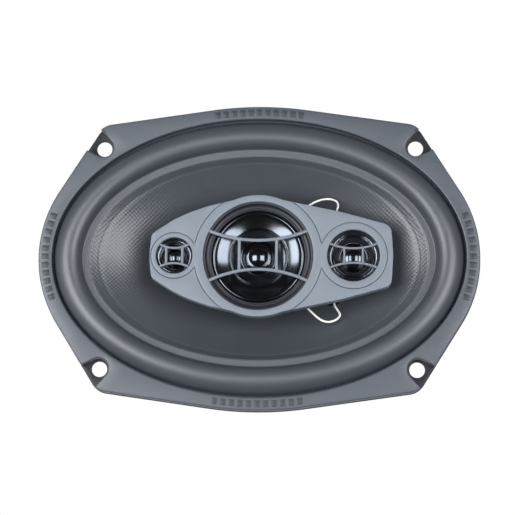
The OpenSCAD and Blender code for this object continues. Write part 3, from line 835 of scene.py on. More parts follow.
@dataclass
class FrontRing:
    """The moulded front ring and the pressed flange under it."""

    half_length: float = box_mm("trim_ring")[1].x
    half_width: float = box_mm("trim_ring")[1].y
    top: float = box_mm("trim_ring")[1].z
    end_r: float = 67.3
    side_r: float = 180.0
    corner: tuple[float, float, float] = (78.6, 62.6, 10.5)
    hole: tuple[float, float] = (84.0, 60.0)
    hole_r: float = 4.1
    opening: tuple[float, float] = (110.3, 75.2)
    steel: float = 1.2
    pocket_r: float = 5.4
    pocket_lips: tuple[tuple[float, float], tuple[float, float]] = ((11.6, -0.2), (3.4, 11.6))

    def quarter(self, grow: float = 0.0) -> list[Vector]:
        """Gives a quarter of the outline, from the +X axis to the +Y axis.

        Args:
            grow: How far outside the ring's own outline it lies.

        Returns:
            The points.
        """
        ends = (self.half_length - self.end_r, 0.0, self.end_r + grow)
        corner = (self.corner[0], self.corner[1], self.corner[2] + grow)
        side = (0.0, self.half_width - self.side_r, self.side_r + grow)
        first, second = tangent_angle(ends, corner), tangent_angle(corner, side) % 360
        points = arc(*ends, 0, first, 16) + arc(*corner, first, second, 12) + arc(*side, second, 90, 12)
        return [Vector((x, y, 0)) for x, y in points]

    def pocketed(self) -> list[Vector]:
        """Gives the quarter outline with its pocket round the screw hole."""
        outline = self.quarter(-0.4)
        centre = Vector((*self.hole, 0))
        lips = [centre + Vector((*p, 0)) for p in self.pocket_lips]
        sides = []
        for lip, sign in zip(lips, (-1, 1)):
            reach = lip - centre
            lean = sign * math.acos(self.pocket_r / reach.length)
            sides.append(math.degrees(math.atan2(reach.y, reach.x) + lean))
        turn = (sides[0] - sides[1]) % 360
        bowl = [Vector((x, y, 0)) for x, y in arc(*self.hole, self.pocket_r, sides[0], sides[0] - turn, 20)]
        cuts = [self._crossing(outline, bowl[0], lips[0]), self._crossing(outline, bowl[-1], lips[1])]
        return outline[:cuts[0][0]] + [cuts[0][1], *bowl, cuts[1][1]] + outline[cuts[1][0]:]

    def _crossing(self, outline: Sequence[Vector], start: Vector, end: Vector) -> tuple[int, Vector]:
        """Finds where a line meets the outline.

        Args:
            outline: The outline.
            start: The line's start, inside.
            end: The line's end, outside.

        Returns:
            The index of the outline's point after the crossing, and the crossing.
        """
        ray = (end - start).xy
        for i in range(1, len(outline)):
            edge = (outline[i] - outline[i - 1]).xy
            across = ray.x * edge.y - ray.y * edge.x
            if abs(across) < 1e-9:
                continue
            gap = (outline[i - 1] - start).xy
            along = (gap.x * edge.y - gap.y * edge.x) / across
            on_edge = (gap.x * ray.y - gap.y * ray.x) / across
            if 0 <= along <= 1 and 0 <= on_edge <= 1:
                return i, outline[i - 1].lerp(outline[i], on_edge)
        return len(outline), end

    @staticmethod
    def whole(quarter: Sequence[Vector]) -> Loop:
        """Mirrors a quarter outline into a closed, anticlockwise one.

        Args:
            quarter: The quarter from the +X axis to the +Y axis.

        Returns:
            The closed outline.
        """
        upper = list(quarter) + [Vector((-p.x, p.y, 0)) for p in reversed(quarter[:-1])]
        lower = [Vector((p.x, -p.y, 0)) for p in reversed(upper[1:-1])]
        points = upper + lower
        return [p for i, p in enumerate(points) if (p - points[i - 1]).length > 0.02]

    def blocks(self, mould: Mould, reach: float, curve: float, turned: float) -> None:
        """Adds a row of plain raised blocks to the ring's face.

        Args:
            mould: The ring's mould.
            reach: The row's distance from the centre.
            curve: The row's own radius.
            turned: The row's turn round the Z axis, in degrees.
        """
        count, pitch = 11, 4.5
        for i in range(count):
            swing = Matrix.Rotation((i - (count - 1) / 2) * pitch / curve, 4, "Z")
            stand = Matrix.Translation((0, curve, self.top))
            where = Matrix.Rotation(math.radians(turned), 4, "Z") @ Matrix.Translation((0, reach - curve, 0))
            mould.block((3.0, 3.6, 0.6), 0.2, where @ swing @ stand, segments=2)

    def build(self) -> None:
        """Makes the ring and the flange."""
        mouth = [ellipse(*self.opening, 0, -TURN * i / 240) for i in range(240)]
        ring = Mould().slab([self.whole(self.pocketed()), mouth], self.steel + 0.02, self.top, soft=0.9,
                            steps=4)
        settle(ring.piece("front_ring", Look.trim_plastic), Body.FRAME, "trim_ring")
        across = (self.half_width + self.opening[1]) / 2 - 0.2
        along = (self.half_length + self.opening[0]) / 2 - 0.2
        blocks = Mould()
        for turned in (0, 180):
            self.blocks(blocks, across, 170.0, turned)
            self.blocks(blocks, along, 64.0, turned + 90)
        # The raised blocks wear the darker trim_relief tone, which is partly painted shade for the shadows
        # round the lettering.
        settle(blocks.piece("raised_blocks", Look.trim_relief), Body.FRAME)
        self.flange()

    def flange(self) -> None:
        """Makes the pressed steel flange, which shows in the pockets and from behind."""
        holes = [[Vector((sx * self.hole[0] + p[0], sy * self.hole[1] + p[1], 0))
                  for p in arc(0, 0, self.hole_r, 360, 0, 40)[:-1]] for sx in (1, -1) for sy in (1, -1)]
        mouth = [ellipse(107.4, 72.2, 0, -TURN * i / 200) for i in range(200)]
        plate = Mould().slab([self.whole(self.quarter(-0.03)), mouth, *holes], 0.0, self.steel, soft=0.4,
                             steps=3)
        settle(plate.piece("basket_flange", Look.black_steel), Body.FRAME)


@dataclass
class Basket:
    """The pressed steel bowl with its windows, and the cup under it."""

    columns: int = 48
    steel: float = 1.2
    stations: Sequence[tuple[float, float, float]] = (
        (1.0, 110.2, 75.0), (0.3, 109.4, 74.2), (-1.6, 108.6, 73.4), (-8.2, 105.9, 70.7),
        (-10.2, 104.0, 69.0),
        (-11.7, 100.6, 66.7), (-14.2, 95.4, 64.8), (-15.3, 92.9, 64.0), (-18.2, 87.0, 62.2),
        (-23.6, 76.2, 58.6),
        (-29.0, 65.4, 55.0), (-31.8, 59.8, 53.1), (-34.6, 54.6, 51.4), (-37.0, 51.4, 50.6),
        (-38.0, 49.8, 49.8),
    )
    open_rows: range = range(7, 11)
    rib: float = 1.5

    def build(self) -> None:
        """Makes the bowl and the cup."""
        mould = Mould()
        period = self.columns // 8

        def place(i: int, j: int) -> Vector:
            """Gives the bowl's outer surface at column i and station j."""
            z, a, b = self.stations[j]
            on_arm = i % period == 0 and 7 <= j <= 11
            swell = self.rib if on_arm else 0.0
            return ellipse(a + swell, b + swell, z - swell * 0.5, TURN * i / self.columns)

        mould.wrap(place, self.columns, len(self.stations) - 1)
        mould.weld()
        doomed = []
        for face in mould.bm.faces:
            centre = face.calc_center_median()
            row = next(j for j in range(len(self.stations) - 1)
                       if self.stations[j + 1][0] - 0.4 <= centre.z + 0.4
                       and centre.z < self.stations[j][0] + 0.1 and self.stations[j + 1][0] < centre.z + 0.9)
            a, b = (self.stations[row][k] + self.stations[row + 1][k] for k in (1, 2))
            column = int((math.atan2(centre.y / b, centre.x / a) % TURN) / TURN * self.columns)
            if row in self.open_rows and 1 <= column % period < period - 1:
                doomed.append(face)
        bmesh.ops.delete(mould.bm, geom=doomed, context="FACES")
        bowl = mould.piece("basket_bowl", Look.black_steel, sharp=80)
        wall = bowl.modifiers.new("wall", "SOLIDIFY")
        wall.thickness, wall.offset = self.steel * MM, -1.0
        rounded = bowl.modifiers.new("rounded", "SUBSURF")
        rounded.levels = rounded.render_levels = 2
        settle(bowl, Body.FRAME, "basket")
        cup = [(20, -46), (42, -46), (42, -37), (50.0, -37), (50.0, -38.2), (43.2, -38.2), (43.2, -47.2),
               (20, -47.2)]
        floor = Mould().turn(softened(cup, 1.0, 4), 128)
        settle(floor.piece("basket_cup", Look.black_steel), Body.FRAME)


# ---------------------------------------------------------------- motor


@dataclass
class Motor:
    """The magnet between its two plates, the stem that comes through it, and their fasteners."""

    front: float = box_mm("top_plate")[1].z
    split: float = box_mm("magnet")[1].z
    magnet_low: float = box_mm("magnet")[0].z
    back: float = box_mm("yoke")[0].z
    plate_r: float = 42.0
    magnet_r: float = 45.0
    bore: float = 16.8
    pole_r: float = 14.8

    def build(self) -> None:
        """Makes the motor's pieces."""
        plate = [(self.bore, self.front), (self.plate_r, self.front), (self.plate_r, self.split),
                 (self.bore, self.split)]
        settle(Mould().turn(softened(plate, 0.9, 4), 144).piece("front_plate", Look.plated_steel), Body.FRAME,
               "top_plate")
        ring = [(21, self.split), (self.magnet_r, self.split), (self.magnet_r, self.magnet_low),
                (21, self.magnet_low)]
        settle(Mould().turn(softened(ring, 1.3, 3), 144).piece("ferrite_ring", Look.ferrite), Body.FRAME,
               "magnet")
        yoke = [(2.9, self.front), (self.pole_r, self.front), (self.pole_r, self.magnet_low + 0.6),
                (15.4, self.magnet_low), (self.plate_r, self.magnet_low), (self.plate_r, self.back),
                (9.2, self.back), (8.0, self.back + 1.2), (8.0, self.back + 4.5), (2.9, self.back + 4.5)]
        settle(Mould().turn(softened(yoke, 1.2, 4), 144).piece("back_plate_and_pole", Look.plated_steel),
               Body.FRAME, "yoke")
        self.fasteners()
        self.stem()

    def fasteners(self) -> None:
        """Makes the rivets, the stem's screw and its washer."""
        rivets = Mould()
        for k in range(4):
            angle = TURN * (k + 0.5) / 4
            head = softened([(0, -44.8), (2.6, -44.9), (3.2, -46.0), (2.0, -46.0), (2.0, -50.2),
                             (0, -50.2)], 0.4,
                            closed=False)
            rivets.turn(head, 32, closed=False, at=(32 * math.cos(angle), 32 * math.sin(angle)))
        settle(rivets.piece("rivets", Look.zinc_steel), Body.FRAME, "plate_rivets")
        low, high = (corner.z for corner in box_mm("stem_washer"))
        washer = softened([(2.6, low), (6.5, low), (6.5, high), (2.6, high)], 0.2, 2)
        settle(Mould().turn(washer, 64).piece("washer", Look.zinc_steel), Body.FRAME, "stem_washer")
        base = box_mm("stem_screw")[0].z
        head = softened([(0, low), (2.5, low), (4.6, low), (4.6, base), (2.7, base), (2.45, base + 0.4)],
                        0.3, 3,
                        closed=False)
        socket = [(2.45, base + 0.4), (2.45, base + 2.2), (0, base + 2.2)]
        screw = Mould().turn([*head, *socket[1:]], 6 * 12, closed=False)
        settle(screw.piece("socket_screw", Look.zinc_steel), Body.FRAME, "stem_screw")

    def stem(self) -> None:
        """Makes the moulded stem that carries the pod."""
        top = box_mm("stem")[1].z
        flare = [(2.5, self.front), (11.0, self.front), (11.0, -17.0), (12.2, -13.0), (15.4, -9.0),
                 (17.5, -7.5),
                 (17.5, top), (0, top)]
        settle(Mould().turn(softened(flare, 1.2, 4, closed=False), 96, closed=False).piece(
            "pod_stem", Look.black_plastic), Body.FRAME, "stem")


# ---------------------------------------------------------------- moving system


@dataclass
class ConeAssembly:
    """The cone, its surround and spider, and the leads on it."""

    cone_a: float = 90.2
    cone_b: float = 54.9
    neck_r: float = 15.65
    edge: float = box_mm("cone")[1].z
    depth: float = 32.0
    lip: tuple[float, float] = (112.6, 77.3)
    lip_z: float = box_mm("surround")[0].z
    roll_r: float = 7.4
    landing: float = -37.0
    waves: int = 6
    lead_r: float = 0.55
    upper_lead: Sequence[tuple[float, float, float]] = (
        (39.7, 20.6, -13.4), (39.5, 20.5, -12.4), (39.8, 21.8, -11.2), (40.6, 24.6, -9.4), (41.6, 27.6, -7.6),
        (42.4, 30.2, -6.2),
        (41.6, 32.2, -5.3), (39.2, 33.3, -4.9), (35.8, 33.5, -4.7), (32, 32.7, -4.7), (28.6, 31.2, -4.9),
        (25.8, 29.4, -5.3), (24.4, 27, -5.8), (24.4, 24, -6.3), (25.2, 20.8, -6.6), (26.2, 18.4, -6.2),
        (26.5, 17.5, -5.6),
    )
    lower_lead: Sequence[tuple[float, float, float]] = (
        (39.7, -20.6, -13.4), (39.5, -20.5, -12.4), (40, -21.8, -11.2), (41, -24.6, -9.4),
        (42.8, -27.6, -7.6),
        (43.4, -29.6, -6.2),
        (42.2, -31.6, -5.3), (39.8, -33, -4.9), (36.8, -33.5, -4.7), (33.6, -32.6, -4.7), (30.6, -30.4, -4.9),
        (28, -27.9, -5.3), (26, -25.8, -5.8), (25.2, -23, -6.3), (25.4, -20.4, -6.6), (26.2, -18.4, -6.2),
        (26.5, -17.5, -5.6),
    )
    rear_lead: Sequence[tuple[float, float, float]] = (
        (73.2, 6.4, -29.8), (72.4, 8.6, -30.6), (71, 10.8, -30.8), (69, 12.4, -29.8), (66.8, 13.2, -27.4),
        (64.4, 13.8, -24.8), (61.4, 14.4, -23.2), (58, 15.2, -22.6), (54.6, 16.2, -22.8), (51.2, 17.4, -23.4),
        (48, 18.6, -23.4), (45, 19.6, -22.4), (42.4, 20.3, -20.4), (40.8, 20.8, -18.2), (40.2, 21, -16.2),
    )

    def build(self) -> None:
        """Makes the moving system's pieces."""
        self.cone()
        self.surround()
        self.spider()
        self.leads()
        self.eyelets()

    def at(self, share: float) -> tuple[float, float, float]:
        """Gives the cone's half length, half width and height at a share of the way to its neck."""
        a = self.cone_a + (self.neck_r - self.cone_a) * share
        b = self.cone_b + (self.neck_r - self.cone_b) * share
        return a, b, self.edge - self.depth * share ** 0.92

    def height(self, x: float, y: float) -> float:
        """Gives the height of the cone's face over a point.

        Args:
            x: The point's place along the length.
            y: The point's place across the width.

        Returns:
            The height.
        """
        low, high = 0.0, 1.0
        for _ in range(24):
            middle = (low + high) / 2
            a, b, _z = self.at(middle)
            if (x / a) ** 2 + (y / b) ** 2 < 1:
                low = middle
            else:
                high = middle
        return self.at(low)[2]

    def cone(self) -> None:
        """Makes the cone, with the step in its face near the edge and its glued neck."""
        faces = [(self.cone_a + 3.7, self.cone_b + 3.7, self.edge - 0.02)]
        faces += [self.at(t) for t in (0.0, 0.008)]
        bead_a, bead_b, bead_z = self.at(0.055)
        faces += [self.at(0.045), (bead_a + 0.25, bead_b + 0.25, bead_z + 0.12),
                  (bead_a - 0.35, bead_b - 0.35, bead_z - 0.42)]
        faces += [self.at(0.07 + 0.93 * k / 30) for k in range(31)]
        back = [(a, b, z - 0.6) for a, b, z in reversed(faces)]
        rings = [*faces, *back, faces[0]]

        def place(i: int, j: int) -> Vector:
            """Gives the point at angle step i of ring j."""
            return ellipse(*rings[j], TURN * i / 240)

        cone = Mould().wrap(place, 240, len(rings) - 1)
        settle(cone.piece("cone_paper", Look.cone_poly, sharp=50), Body.CONE, "cone")

    def surround(self) -> None:
        """Makes the rubber surround with its half roll."""
        middle = self.lip[0] - self.cone_a - 4.4 - self.roll_r
        rise = self.edge - self.lip_z
        width = self.lip[0] - self.cone_a

        def line(shift: float) -> list[tuple[float, float]]:
            """Gives the profile's inset and height, shifted off its middle line."""
            roll = [(middle + (self.roll_r - 0.4 + shift) * math.cos(math.radians(t)),
                     self.lip_z + rise * (1 + math.cos(math.radians(t))) / 2 + 0.4
                     + (self.roll_r - 0.4 + shift) * math.sin(math.radians(t))) for t in range(172, 7, -6)]
            start = [(0.0, self.lip_z + 0.42 + shift), (middle - self.roll_r - 0.5,
                                                        self.lip_z + 0.42 + shift)]
            end = [(middle + self.roll_r + 0.5, self.edge + 0.42 + shift),
                   (width - 0.9, self.edge + 0.42 + shift),
                   (width, self.edge + 0.42 + shift * 0.4)]
            return start + roll + end

        profile = softened([*line(0.4), *reversed(line(-0.38))], 0.3, 2)
        rings = [*profile, profile[0]]

        def place(i: int, j: int) -> Vector:
            """Gives the point at angle step i of ring j."""
            d, z = rings[j]
            return ellipse(self.lip[0] - d, self.lip[1] - d, z, TURN * i / 256)

        piece = Mould().wrap(place, 256, len(rings) - 1).piece("rubber_surround", Look.surround_rubber,
                                                               sharp=60)
        outer, inner = middle - self.roll_r, middle + self.roll_r

        def share(p: Vector) -> float:
            """Gives how far a point lies across the roll."""
            return (self._inset(p.x, p.y) - outer) / (inner - outer)

        bend(piece, share, "surround")

    def _inset(self, x: float, y: float) -> float:
        """Finds how far inside the surround's lip a point lies.

        Args:
            x: The point's place along the length.
            y: The point's place across the width.

        Returns:
            The inset of the ellipse through the point.
        """
        low, high = -1.0, self.lip[1] - 1
        for _ in range(22):
            d = (low + high) / 2
            if (x / (self.lip[0] - d)) ** 2 + (y / (self.lip[1] - d)) ** 2 < 1:
                low = d
            else:
                high = d
        return (low + high) / 2

    def spider(self) -> None:
        """Makes the corrugated spider."""
        inner, outer, rest = self.neck_r + 1.2, 41.8, self.landing + 0.25
        steps = self.waves * 12
        crest = [(inner + (outer - inner) * k / steps, rest + 1.3 * math.sin(TURN * self.waves * k / steps))
                 for k in range(steps + 1)]
        line = [(self.neck_r, self.landing + 2.2), (self.neck_r + 0.5, self.landing + 1.0), *crest,
                (48.0, rest)]
        sheet = [(r, z + 0.22) for r, z in line] + [(r, z - 0.22) for r, z in reversed(line)]
        piece = Mould().turn(sheet, 160).piece("corrugated_spider", Look.spider_cloth, sharp=70)

        def share(p: Vector) -> float:
            """Gives 0 at the spider's landing and 1 at the former."""
            return (outer - math.hypot(p.x, p.y)) / (outer - inner)

        bend(piece, share, "spider")

    def leads(self) -> None:
        """Makes the braided tinsel leads in front of the cone and behind it."""
        mirrored = [(x, -y, z) for x, y, z in self.rear_lead]
        self.lead_pair("front_tinsel", "front_tinsel_leads", self.upper_lead, self.lower_lead, True)
        self.lead_pair("rear_tinsel", "rear_tinsel_leads", self.rear_lead, mirrored, False)

    def lead_pair(self, name: str, node: str, upper: Sequence[Sequence[float]],
                  lower: Sequence[Sequence[float]],
                  from_cone: bool) -> None:
        """Makes a lead on each side of the axis.

        Args:
            name: The piece's name.
            node: The CAD node that it replaces.
            upper: The route on the +Y side.
            lower: The route on the -Y side.
            from_cone: True where the routes start on the cone, False where they end on it.
        """
        mould = Mould()
        paths = [smooth_path(upper), smooth_path(lower)]
        for path in paths:
            mould.sweep(path, arc(0, 0, self.lead_r, 0, 360, 12)[:-1])
        piece = mould.piece(name, Look.tinsel, sharp=70)

        def share(p: Vector) -> float:
            """Gives how far along its lead, from the fixed end, a point lies."""
            path = paths[0] if p.y > 0 else paths[1]
            near = min(range(len(path)), key=lambda k: (path[k] - p).length)
            along = near / (len(path) - 1)
            return 1 - along if from_cone else along

        bend(piece, share, node)

    def eyelets(self) -> None:
        """Makes the eyelets in the cone, with the blobs of glue round the leads."""
        eyelets, glue = Mould(), Mould()
        x, y = 40.0, 21.0
        across = self.height(x - 1, y) - self.height(x + 1, y)
        along = self.height(x, y - 1) - self.height(x, y + 1)
        slope = Vector((across, along, 2))
        stand = slope.to_track_quat("Z", "Y").to_matrix().to_4x4()
        for mould, profile in (
            (eyelets, softened([(0.6, -1.4), (0.8, 0.2), (1.1, 0.75), (1.9, 0.5), (2.1, 0.0), (1.9, -1.2)],
                               0.25)),
            (glue, [(3.6, -0.35), (3.2, 0.1), (2.6, 0.4), (1.9, 0.62), (1.2, 0.9), (0.7, 1.4), (0.52, 2.0),
                    (0.52, -0.3)]),
        ):
            mould.turn(profile, 32)
            mould.moved(Matrix.Translation((x, y, self.height(x, y))) @ stand)
            mould.mirrored("Y")
        settle(eyelets.piece("lead_eyelets", Look.zinc_steel), Body.CONE, "cone_eyelets")
        settle(glue.piece("lead_glue", Look.gloss_black), Body.CONE)


# ---------------------------------------------------------------- pod


@dataclass
class Guard:
    """A ring with two bowed bars and two posts over one of the units.

    Attributes:
        name: The piece's name.
        node: The CAD node that it replaces.
        at: The unit's place along the length.
        inner: The ring's inner radius.
        end: Where the upper bar ends: along the length and across it from the unit's middle.
        middle: The bars' distance from the unit's middle, halfway along them.
        posts: The posts' places along the length from the unit's middle.
        bar: The bars' width.
        post_width: The posts' width.
        bars_low: The height of the bars' middle line at their ends.
        bars_high: The same halfway along them.
        top: The height of the ring's crown.
        seat: The height that the ring stands on.
        steps: How many steps go round the ring.
    """

    name: str
    node: str
    at: float
    inner: float
    end: tuple[float, float]
    middle: float
    posts: tuple[float, float]
    bar: float
    post_width: float
    bars_low: float
    bars_high: float
    top: float = 9.3
    seat: float = box_mm("tweeter_guard")[0].z
    steps: int = 288

    def build(self, rim: Callable[[float], float]) -> None:
        """Makes the guard.

        Args:
            rim: Gives the ring's outer radius in a direction, in radians.
        """
        top, mould = self.top, Mould()
        section = [(0, 0.0, self.seat), (0, 0.0, top - 0.6), (0, 0.06, top - 0.3), (0, 0.22, top - 0.1),
                   (0, 0.5, top), (1, -0.8, top), (1, -0.3, top - 0.1), (1, -0.08, top - 0.2),
                   (1, 0.0, top - 0.4),
                   (1, 0.0, self.seat)]
        section.append(section[0])

        def place(i: int, j: int) -> Vector:
            """Gives the ring's point at angle step i of section point j."""
            angle = TURN * i / self.steps
            side, shift, z = section[j]
            r = (rim(angle) if side else self.inner) + shift
            return Vector((self.at + r * math.cos(angle), r * math.sin(angle), z))

        mould.wrap(place, self.steps, len(section) - 1)
        self.bars(mould)
        settle(mould.piece(self.name, Look.pod_plastic), Body.FRAME, self.node)

    def level(self, x: float) -> float:
        """Gives the height of the bars' middle line at a distance along the length from the unit's middle."""
        share = min(1.0, abs(x) / self.end[0])
        return self.bars_low + (self.bars_high - self.bars_low) * (1 - share * share)

    def bars(self, mould: Mould) -> None:
        """Adds the bowed bars and the posts between them.

        Args:
            mould: The guard's mould.
        """
        half = self.bar / 2
        section = softened([(-half, -0.9), (half, -0.9), (half, 0.3), (half * 0.4, 0.62), (-half * 0.4, 0.62),
                            (-half, 0.3)], 0.35, 3)
        sag = self.end[1] - self.middle
        bow = (self.end[0] ** 2 + sag ** 2) / (2 * sag)
        reach = math.degrees(math.asin(min(1.0, (self.end[0] + 0.5) / bow)))
        for side in (1, -1):
            path = [Vector((self.at + x, side * (self.middle + bow + y), self.level(x)))
                    for x, y in arc(0, 0, bow, -90 - reach, -90 + reach, 32)]
            mould.sweep(path, section)
        thin = [(x * self.post_width / self.bar, z - 0.12) for x, z in section]
        for post in self.posts:
            ends = self.middle + 0.5
            path = [Vector((self.at + post, -ends + 2 * ends * k / 4, self.level(post))) for k in range(5)]
            mould.sweep(path, thin)


@dataclass
class Pod:
    """The pod's two shells and what fastens and wires them."""

    face: float = box_mm("pod_face")[1].z
    split: float = box_mm("pod_face")[0].z
    under: float = box_mm("pod_body")[0].z
    seat: float = box_mm("tweeter_guard")[0].z
    ring_r: float = 32.8
    collar_r: float = 34.05
    groove: float = 0.22
    tweeter: float = sum(corner.x for corner in box_mm("tweeter_guard")) / 2
    super_tweeter: float = sum(corner.x for corner in box_mm("super_tweeter_guard")) / 2
    small_r: tuple[float, float] = (17.8, 12.3)
    collar_inner: float = 30.4
    ledge: float = 2.6
    steps: int = 288
    wing_steps: int = 720
    corners: Sequence[tuple[float, float, float]] = (
        (72.1, 0, 100), (70.4, 16.3, 5), (44, 23.6, 60), (0, 32.9, 40), (-26.1, 27.1, 40), (-37.2, 23.2, 40),
        (-44.8, 19.6, 30), (-56.6, 11.9, 4.2), (-58.5, 0, 60), (-56.6, -11.9, 4.2), (-44.8, -19.6, 30),
        (-37.2, -23.2, 40), (-26.1, -27.1, 40), (0, -32.9, 40), (44, -23.6, 60), (70.4, -16.3, 5),
    )

    def outline(self) -> list[Vector]:
        """Gives the outline of the wings alone, with its corners rounded."""
        out: list[Vector] = []
        count = len(self.corners)
        for i, (x, y, r) in enumerate(self.corners):
            corner = Vector((x, y))
            back = (Vector(self.corners[i - 1][:2]) - corner).normalized()
            ahead = (Vector(self.corners[(i + 1) % count][:2]) - corner).normalized()
            half = math.acos(max(-1.0, min(1.0, back.dot(ahead)))) / 2
            centre = corner + (back + ahead).normalized() * r / math.sin(half)
            first, last = corner + back * r / math.tan(half), corner + ahead * r / math.tan(half)
            start = math.atan2(first.y - centre.y, first.x - centre.x)
            turn = (math.atan2(last.y - centre.y, last.x - centre.x) - start + math.pi) % TURN - math.pi
            steps = max(2, round(abs(turn) / math.radians(6)))
            out += [Vector((centre.x + r * math.cos(start + turn * k / steps),
                            centre.y + r * math.sin(start + turn * k / steps), 0)) for k in range(steps + 1)]
        return out

    def reach(self, wings: Sequence[Vector], angle: float) -> float:
        """Gives the wings' distance from the centre in one direction.

        Args:
            wings: The wings' outline.
            angle: The direction, in radians.

        Returns:
            The distance.
        """
        ray = Vector((math.cos(angle), math.sin(angle)))
        best = 0.0
        for a, b in zip(wings, [*wings[1:], wings[0]]):
            edge = (b - a).xy
            across = ray.x * edge.y - ray.y * edge.x
            if abs(across) < 1e-9:
                continue
            along = (a.x * edge.y - a.y * edge.x) / across
            on_edge = (a.x * ray.y - a.y * ray.x) / across
            if along > 0 and -1e-6 <= on_edge <= 1 + 1e-6:
                best = max(best, along)
        return best

    def contour(self, wings: Sequence[Vector], scale: float, ring_r: float, count: int = 360) -> Loop:
        """Gives the outline of the scaled wings and the middle ring together.

        Args:
            wings: The wings' outline.
            scale: The wings' scale at this level.
            ring_r: The middle ring's radius at this level.
            count: How many points.

        Returns:
            The outline.
        """
        out = []
        for i in range(count):
            angle = TURN * i / count
            r = max(self.reach(wings, angle) * scale, ring_r)
            out.append(Vector((r * math.cos(angle), r * math.sin(angle), 0)))
        return out

    def shell(self, mould: Mould, levels: Sequence[tuple[float, float, float]]) -> list[Loop]:
        """Lofts the pod's side wall.

        Args:
            mould: The shell's mould.
            levels: For each level its height, the wings' scale and the middle ring's radius.

        Returns:
            The outlines, level by level.
        """
        wings = self.outline()
        loops = [[Vector((p.x, p.y, z)) for p in self.contour(wings, scale, r)] for z, scale, r in levels]
        count = len(loops[0])
        mould.wrap(lambda i, j: loops[j][i % count], count, len(loops) - 1)
        return loops

    def build(self) -> None:
        """Makes the pod's pieces."""
        wings = self.outline()

        def collar(angle: float) -> float:
            """Gives the middle ring's outer radius: wider where the wings meet it."""
            return min(self.collar_r, max(self.ring_r, self.reach(wings, angle)))

        self.face_shell(wings, collar)
        self.body_shell()
        Guard("midrange_bars", "midrange_guard", at=0.0, inner=29.2, end=(25.9, 13.4), middle=7.8,
              posts=(-9.9, 9.9), bar=1.7, post_width=1.6, bars_low=8.2, bars_high=10.8).build(collar)
        Guard("tweeter_bars", "tweeter_guard", at=self.tweeter, inner=13.9, end=(12.4, 6.4), middle=3.9,
              posts=(-4.9, 4.9), bar=1.2, post_width=1.1, bars_low=8.3, bars_high=8.5).build(
                  lambda angle: self.small_r[0])
        Guard("super_tweeter_bars", "super_tweeter_guard", at=self.super_tweeter, inner=9.75, end=(7.6, 6.0),
              middle=4.1, posts=(-4.3, 4.3), bar=1.2, post_width=1.3, bars_low=8.3, bars_high=8.5).build(
                  lambda angle: self.small_r[1])
        self.hardware()
        self.capacitors()

    def face_shell(self, wings: Sequence[Vector], collar: Callable[[float], float]) -> None:
        """Makes the grey face: a collar round the middle and a wing on each side.

        Args:
            wings: The wings' outline.
            collar: Gives the collar's outer radius in a direction.
        """
        mould = Mould()
        bore = self.collar_inner
        section = [(bore, 0, self.split), (bore, 0, self.seat), (0, 1, self.seat), (0, 1, self.split),
                   (bore, 0, self.split)]

        def place(i: int, j: int) -> Vector:
            """Gives the collar's point at angle step i of section point j."""
            angle = TURN * i / self.steps
            r = section[j][0] + section[j][1] * collar(angle)
            return Vector((r * math.cos(angle), r * math.sin(angle), section[j][2]))

        mould.wrap(place, self.steps, len(section) - 1)
        inner = self.collar_r + self.groove
        for middle, at, hole in ((0.0, self.tweeter, self.small_r[0]),
                                 (math.pi, self.super_tweeter, self.small_r[1])):
            third = self.wing_steps // 3
            turns = [middle + TURN * k / self.wing_steps for k in range(-third, third + 1)]
            angles = [t for t in turns if self.reach(wings, t) > inner + 0.05]
            contour = [Vector((math.cos(t), math.sin(t), 0)) * self.reach(wings, t) for t in angles]
            contour += [Vector((math.cos(t), math.sin(t), 0)) * inner for t in reversed(angles)]
            rim = [Vector((at + x, y, 0)) for x, y in arc(0, 0, hole + self.groove, 360, 0, 144)[:-1]]
            mould.slab([contour, rim], self.split, self.face, soft=0.3, steps=3)
            lip = hole - self.ledge
            mould.turn([(hole, self.seat), (hole, self.split), (lip, self.split), (lip, self.seat)], 120,
                       at=(at, 0))
        settle(mould.piece("pod_face_shell", Look.pod_plastic, sharp=30), Body.FRAME, "pod_face")

    def _fill(self, mould: Mould, outline: Loop, z: float, holes: Sequence[tuple[float, float]]) -> None:
        """Fills a level between the outline and round holes.

        Args:
            mould: The shell's mould.
            outline: The outline.
            z: The level.
            holes: The place along the length and the radius of each.
        """
        edges = []
        rims = [outline] + [[Vector((at + r * math.cos(-TURN * k / 120), r * math.sin(-TURN * k / 120), z))
                             for k in range(120)] for at, r in holes]
        for rim in rims:
            verts = [mould.bm.verts.new((p.x, p.y, z)) for p in rim]
            edges += [mould.bm.edges.new((verts[k - 1], verts[k])) for k in range(len(verts))]
        bmesh.ops.triangle_fill(mould.bm, edges=edges, use_beauty=True)

    def body_shell(self) -> None:
        """Makes the black rear shell, with the pockets that the units sit in."""
        mould = Mould()
        wing = self.under + 1.0
        levels = [(wing, 0.825, 26.0), (wing + 0.15, 0.838, 27.0), (wing + 0.5, 0.845, 27.8),
                  (0.0, 0.93, 29.8),
                  (self.split - 0.3, 0.958, 31.2), (self.split - 0.05, 0.958, 31.2)]
        loops = self.shell(mould, levels)
        mould.weld()
        units = [(0.0, 27.0), (self.tweeter, 13.4), (self.super_tweeter, 9.0)]
        self._fill(mould, loops[-1], levels[-1][0], units)
        self._fill(mould, loops[0], wing, [(0.0, 24.0)])
        floor = self.under + 1.6
        mould.turn([(27.0, levels[-1][0]), (27.0, floor), (0.0, floor)], 120, closed=False)
        mould.turn(softened([(24.0, wing), (23.4, self.under), (0.0, self.under)], 0.4, 3, closed=False), 120,
                   closed=False)
        for at, r in units[1:]:
            mould.turn([(r, levels[-1][0]), (r, wing + 1.2), (0.0, wing + 1.2)], 120, closed=False,
                       at=(at, 0))
        settle(mould.piece("pod_rear_shell", Look.black_plastic, sharp=35), Body.FRAME, "pod_body")

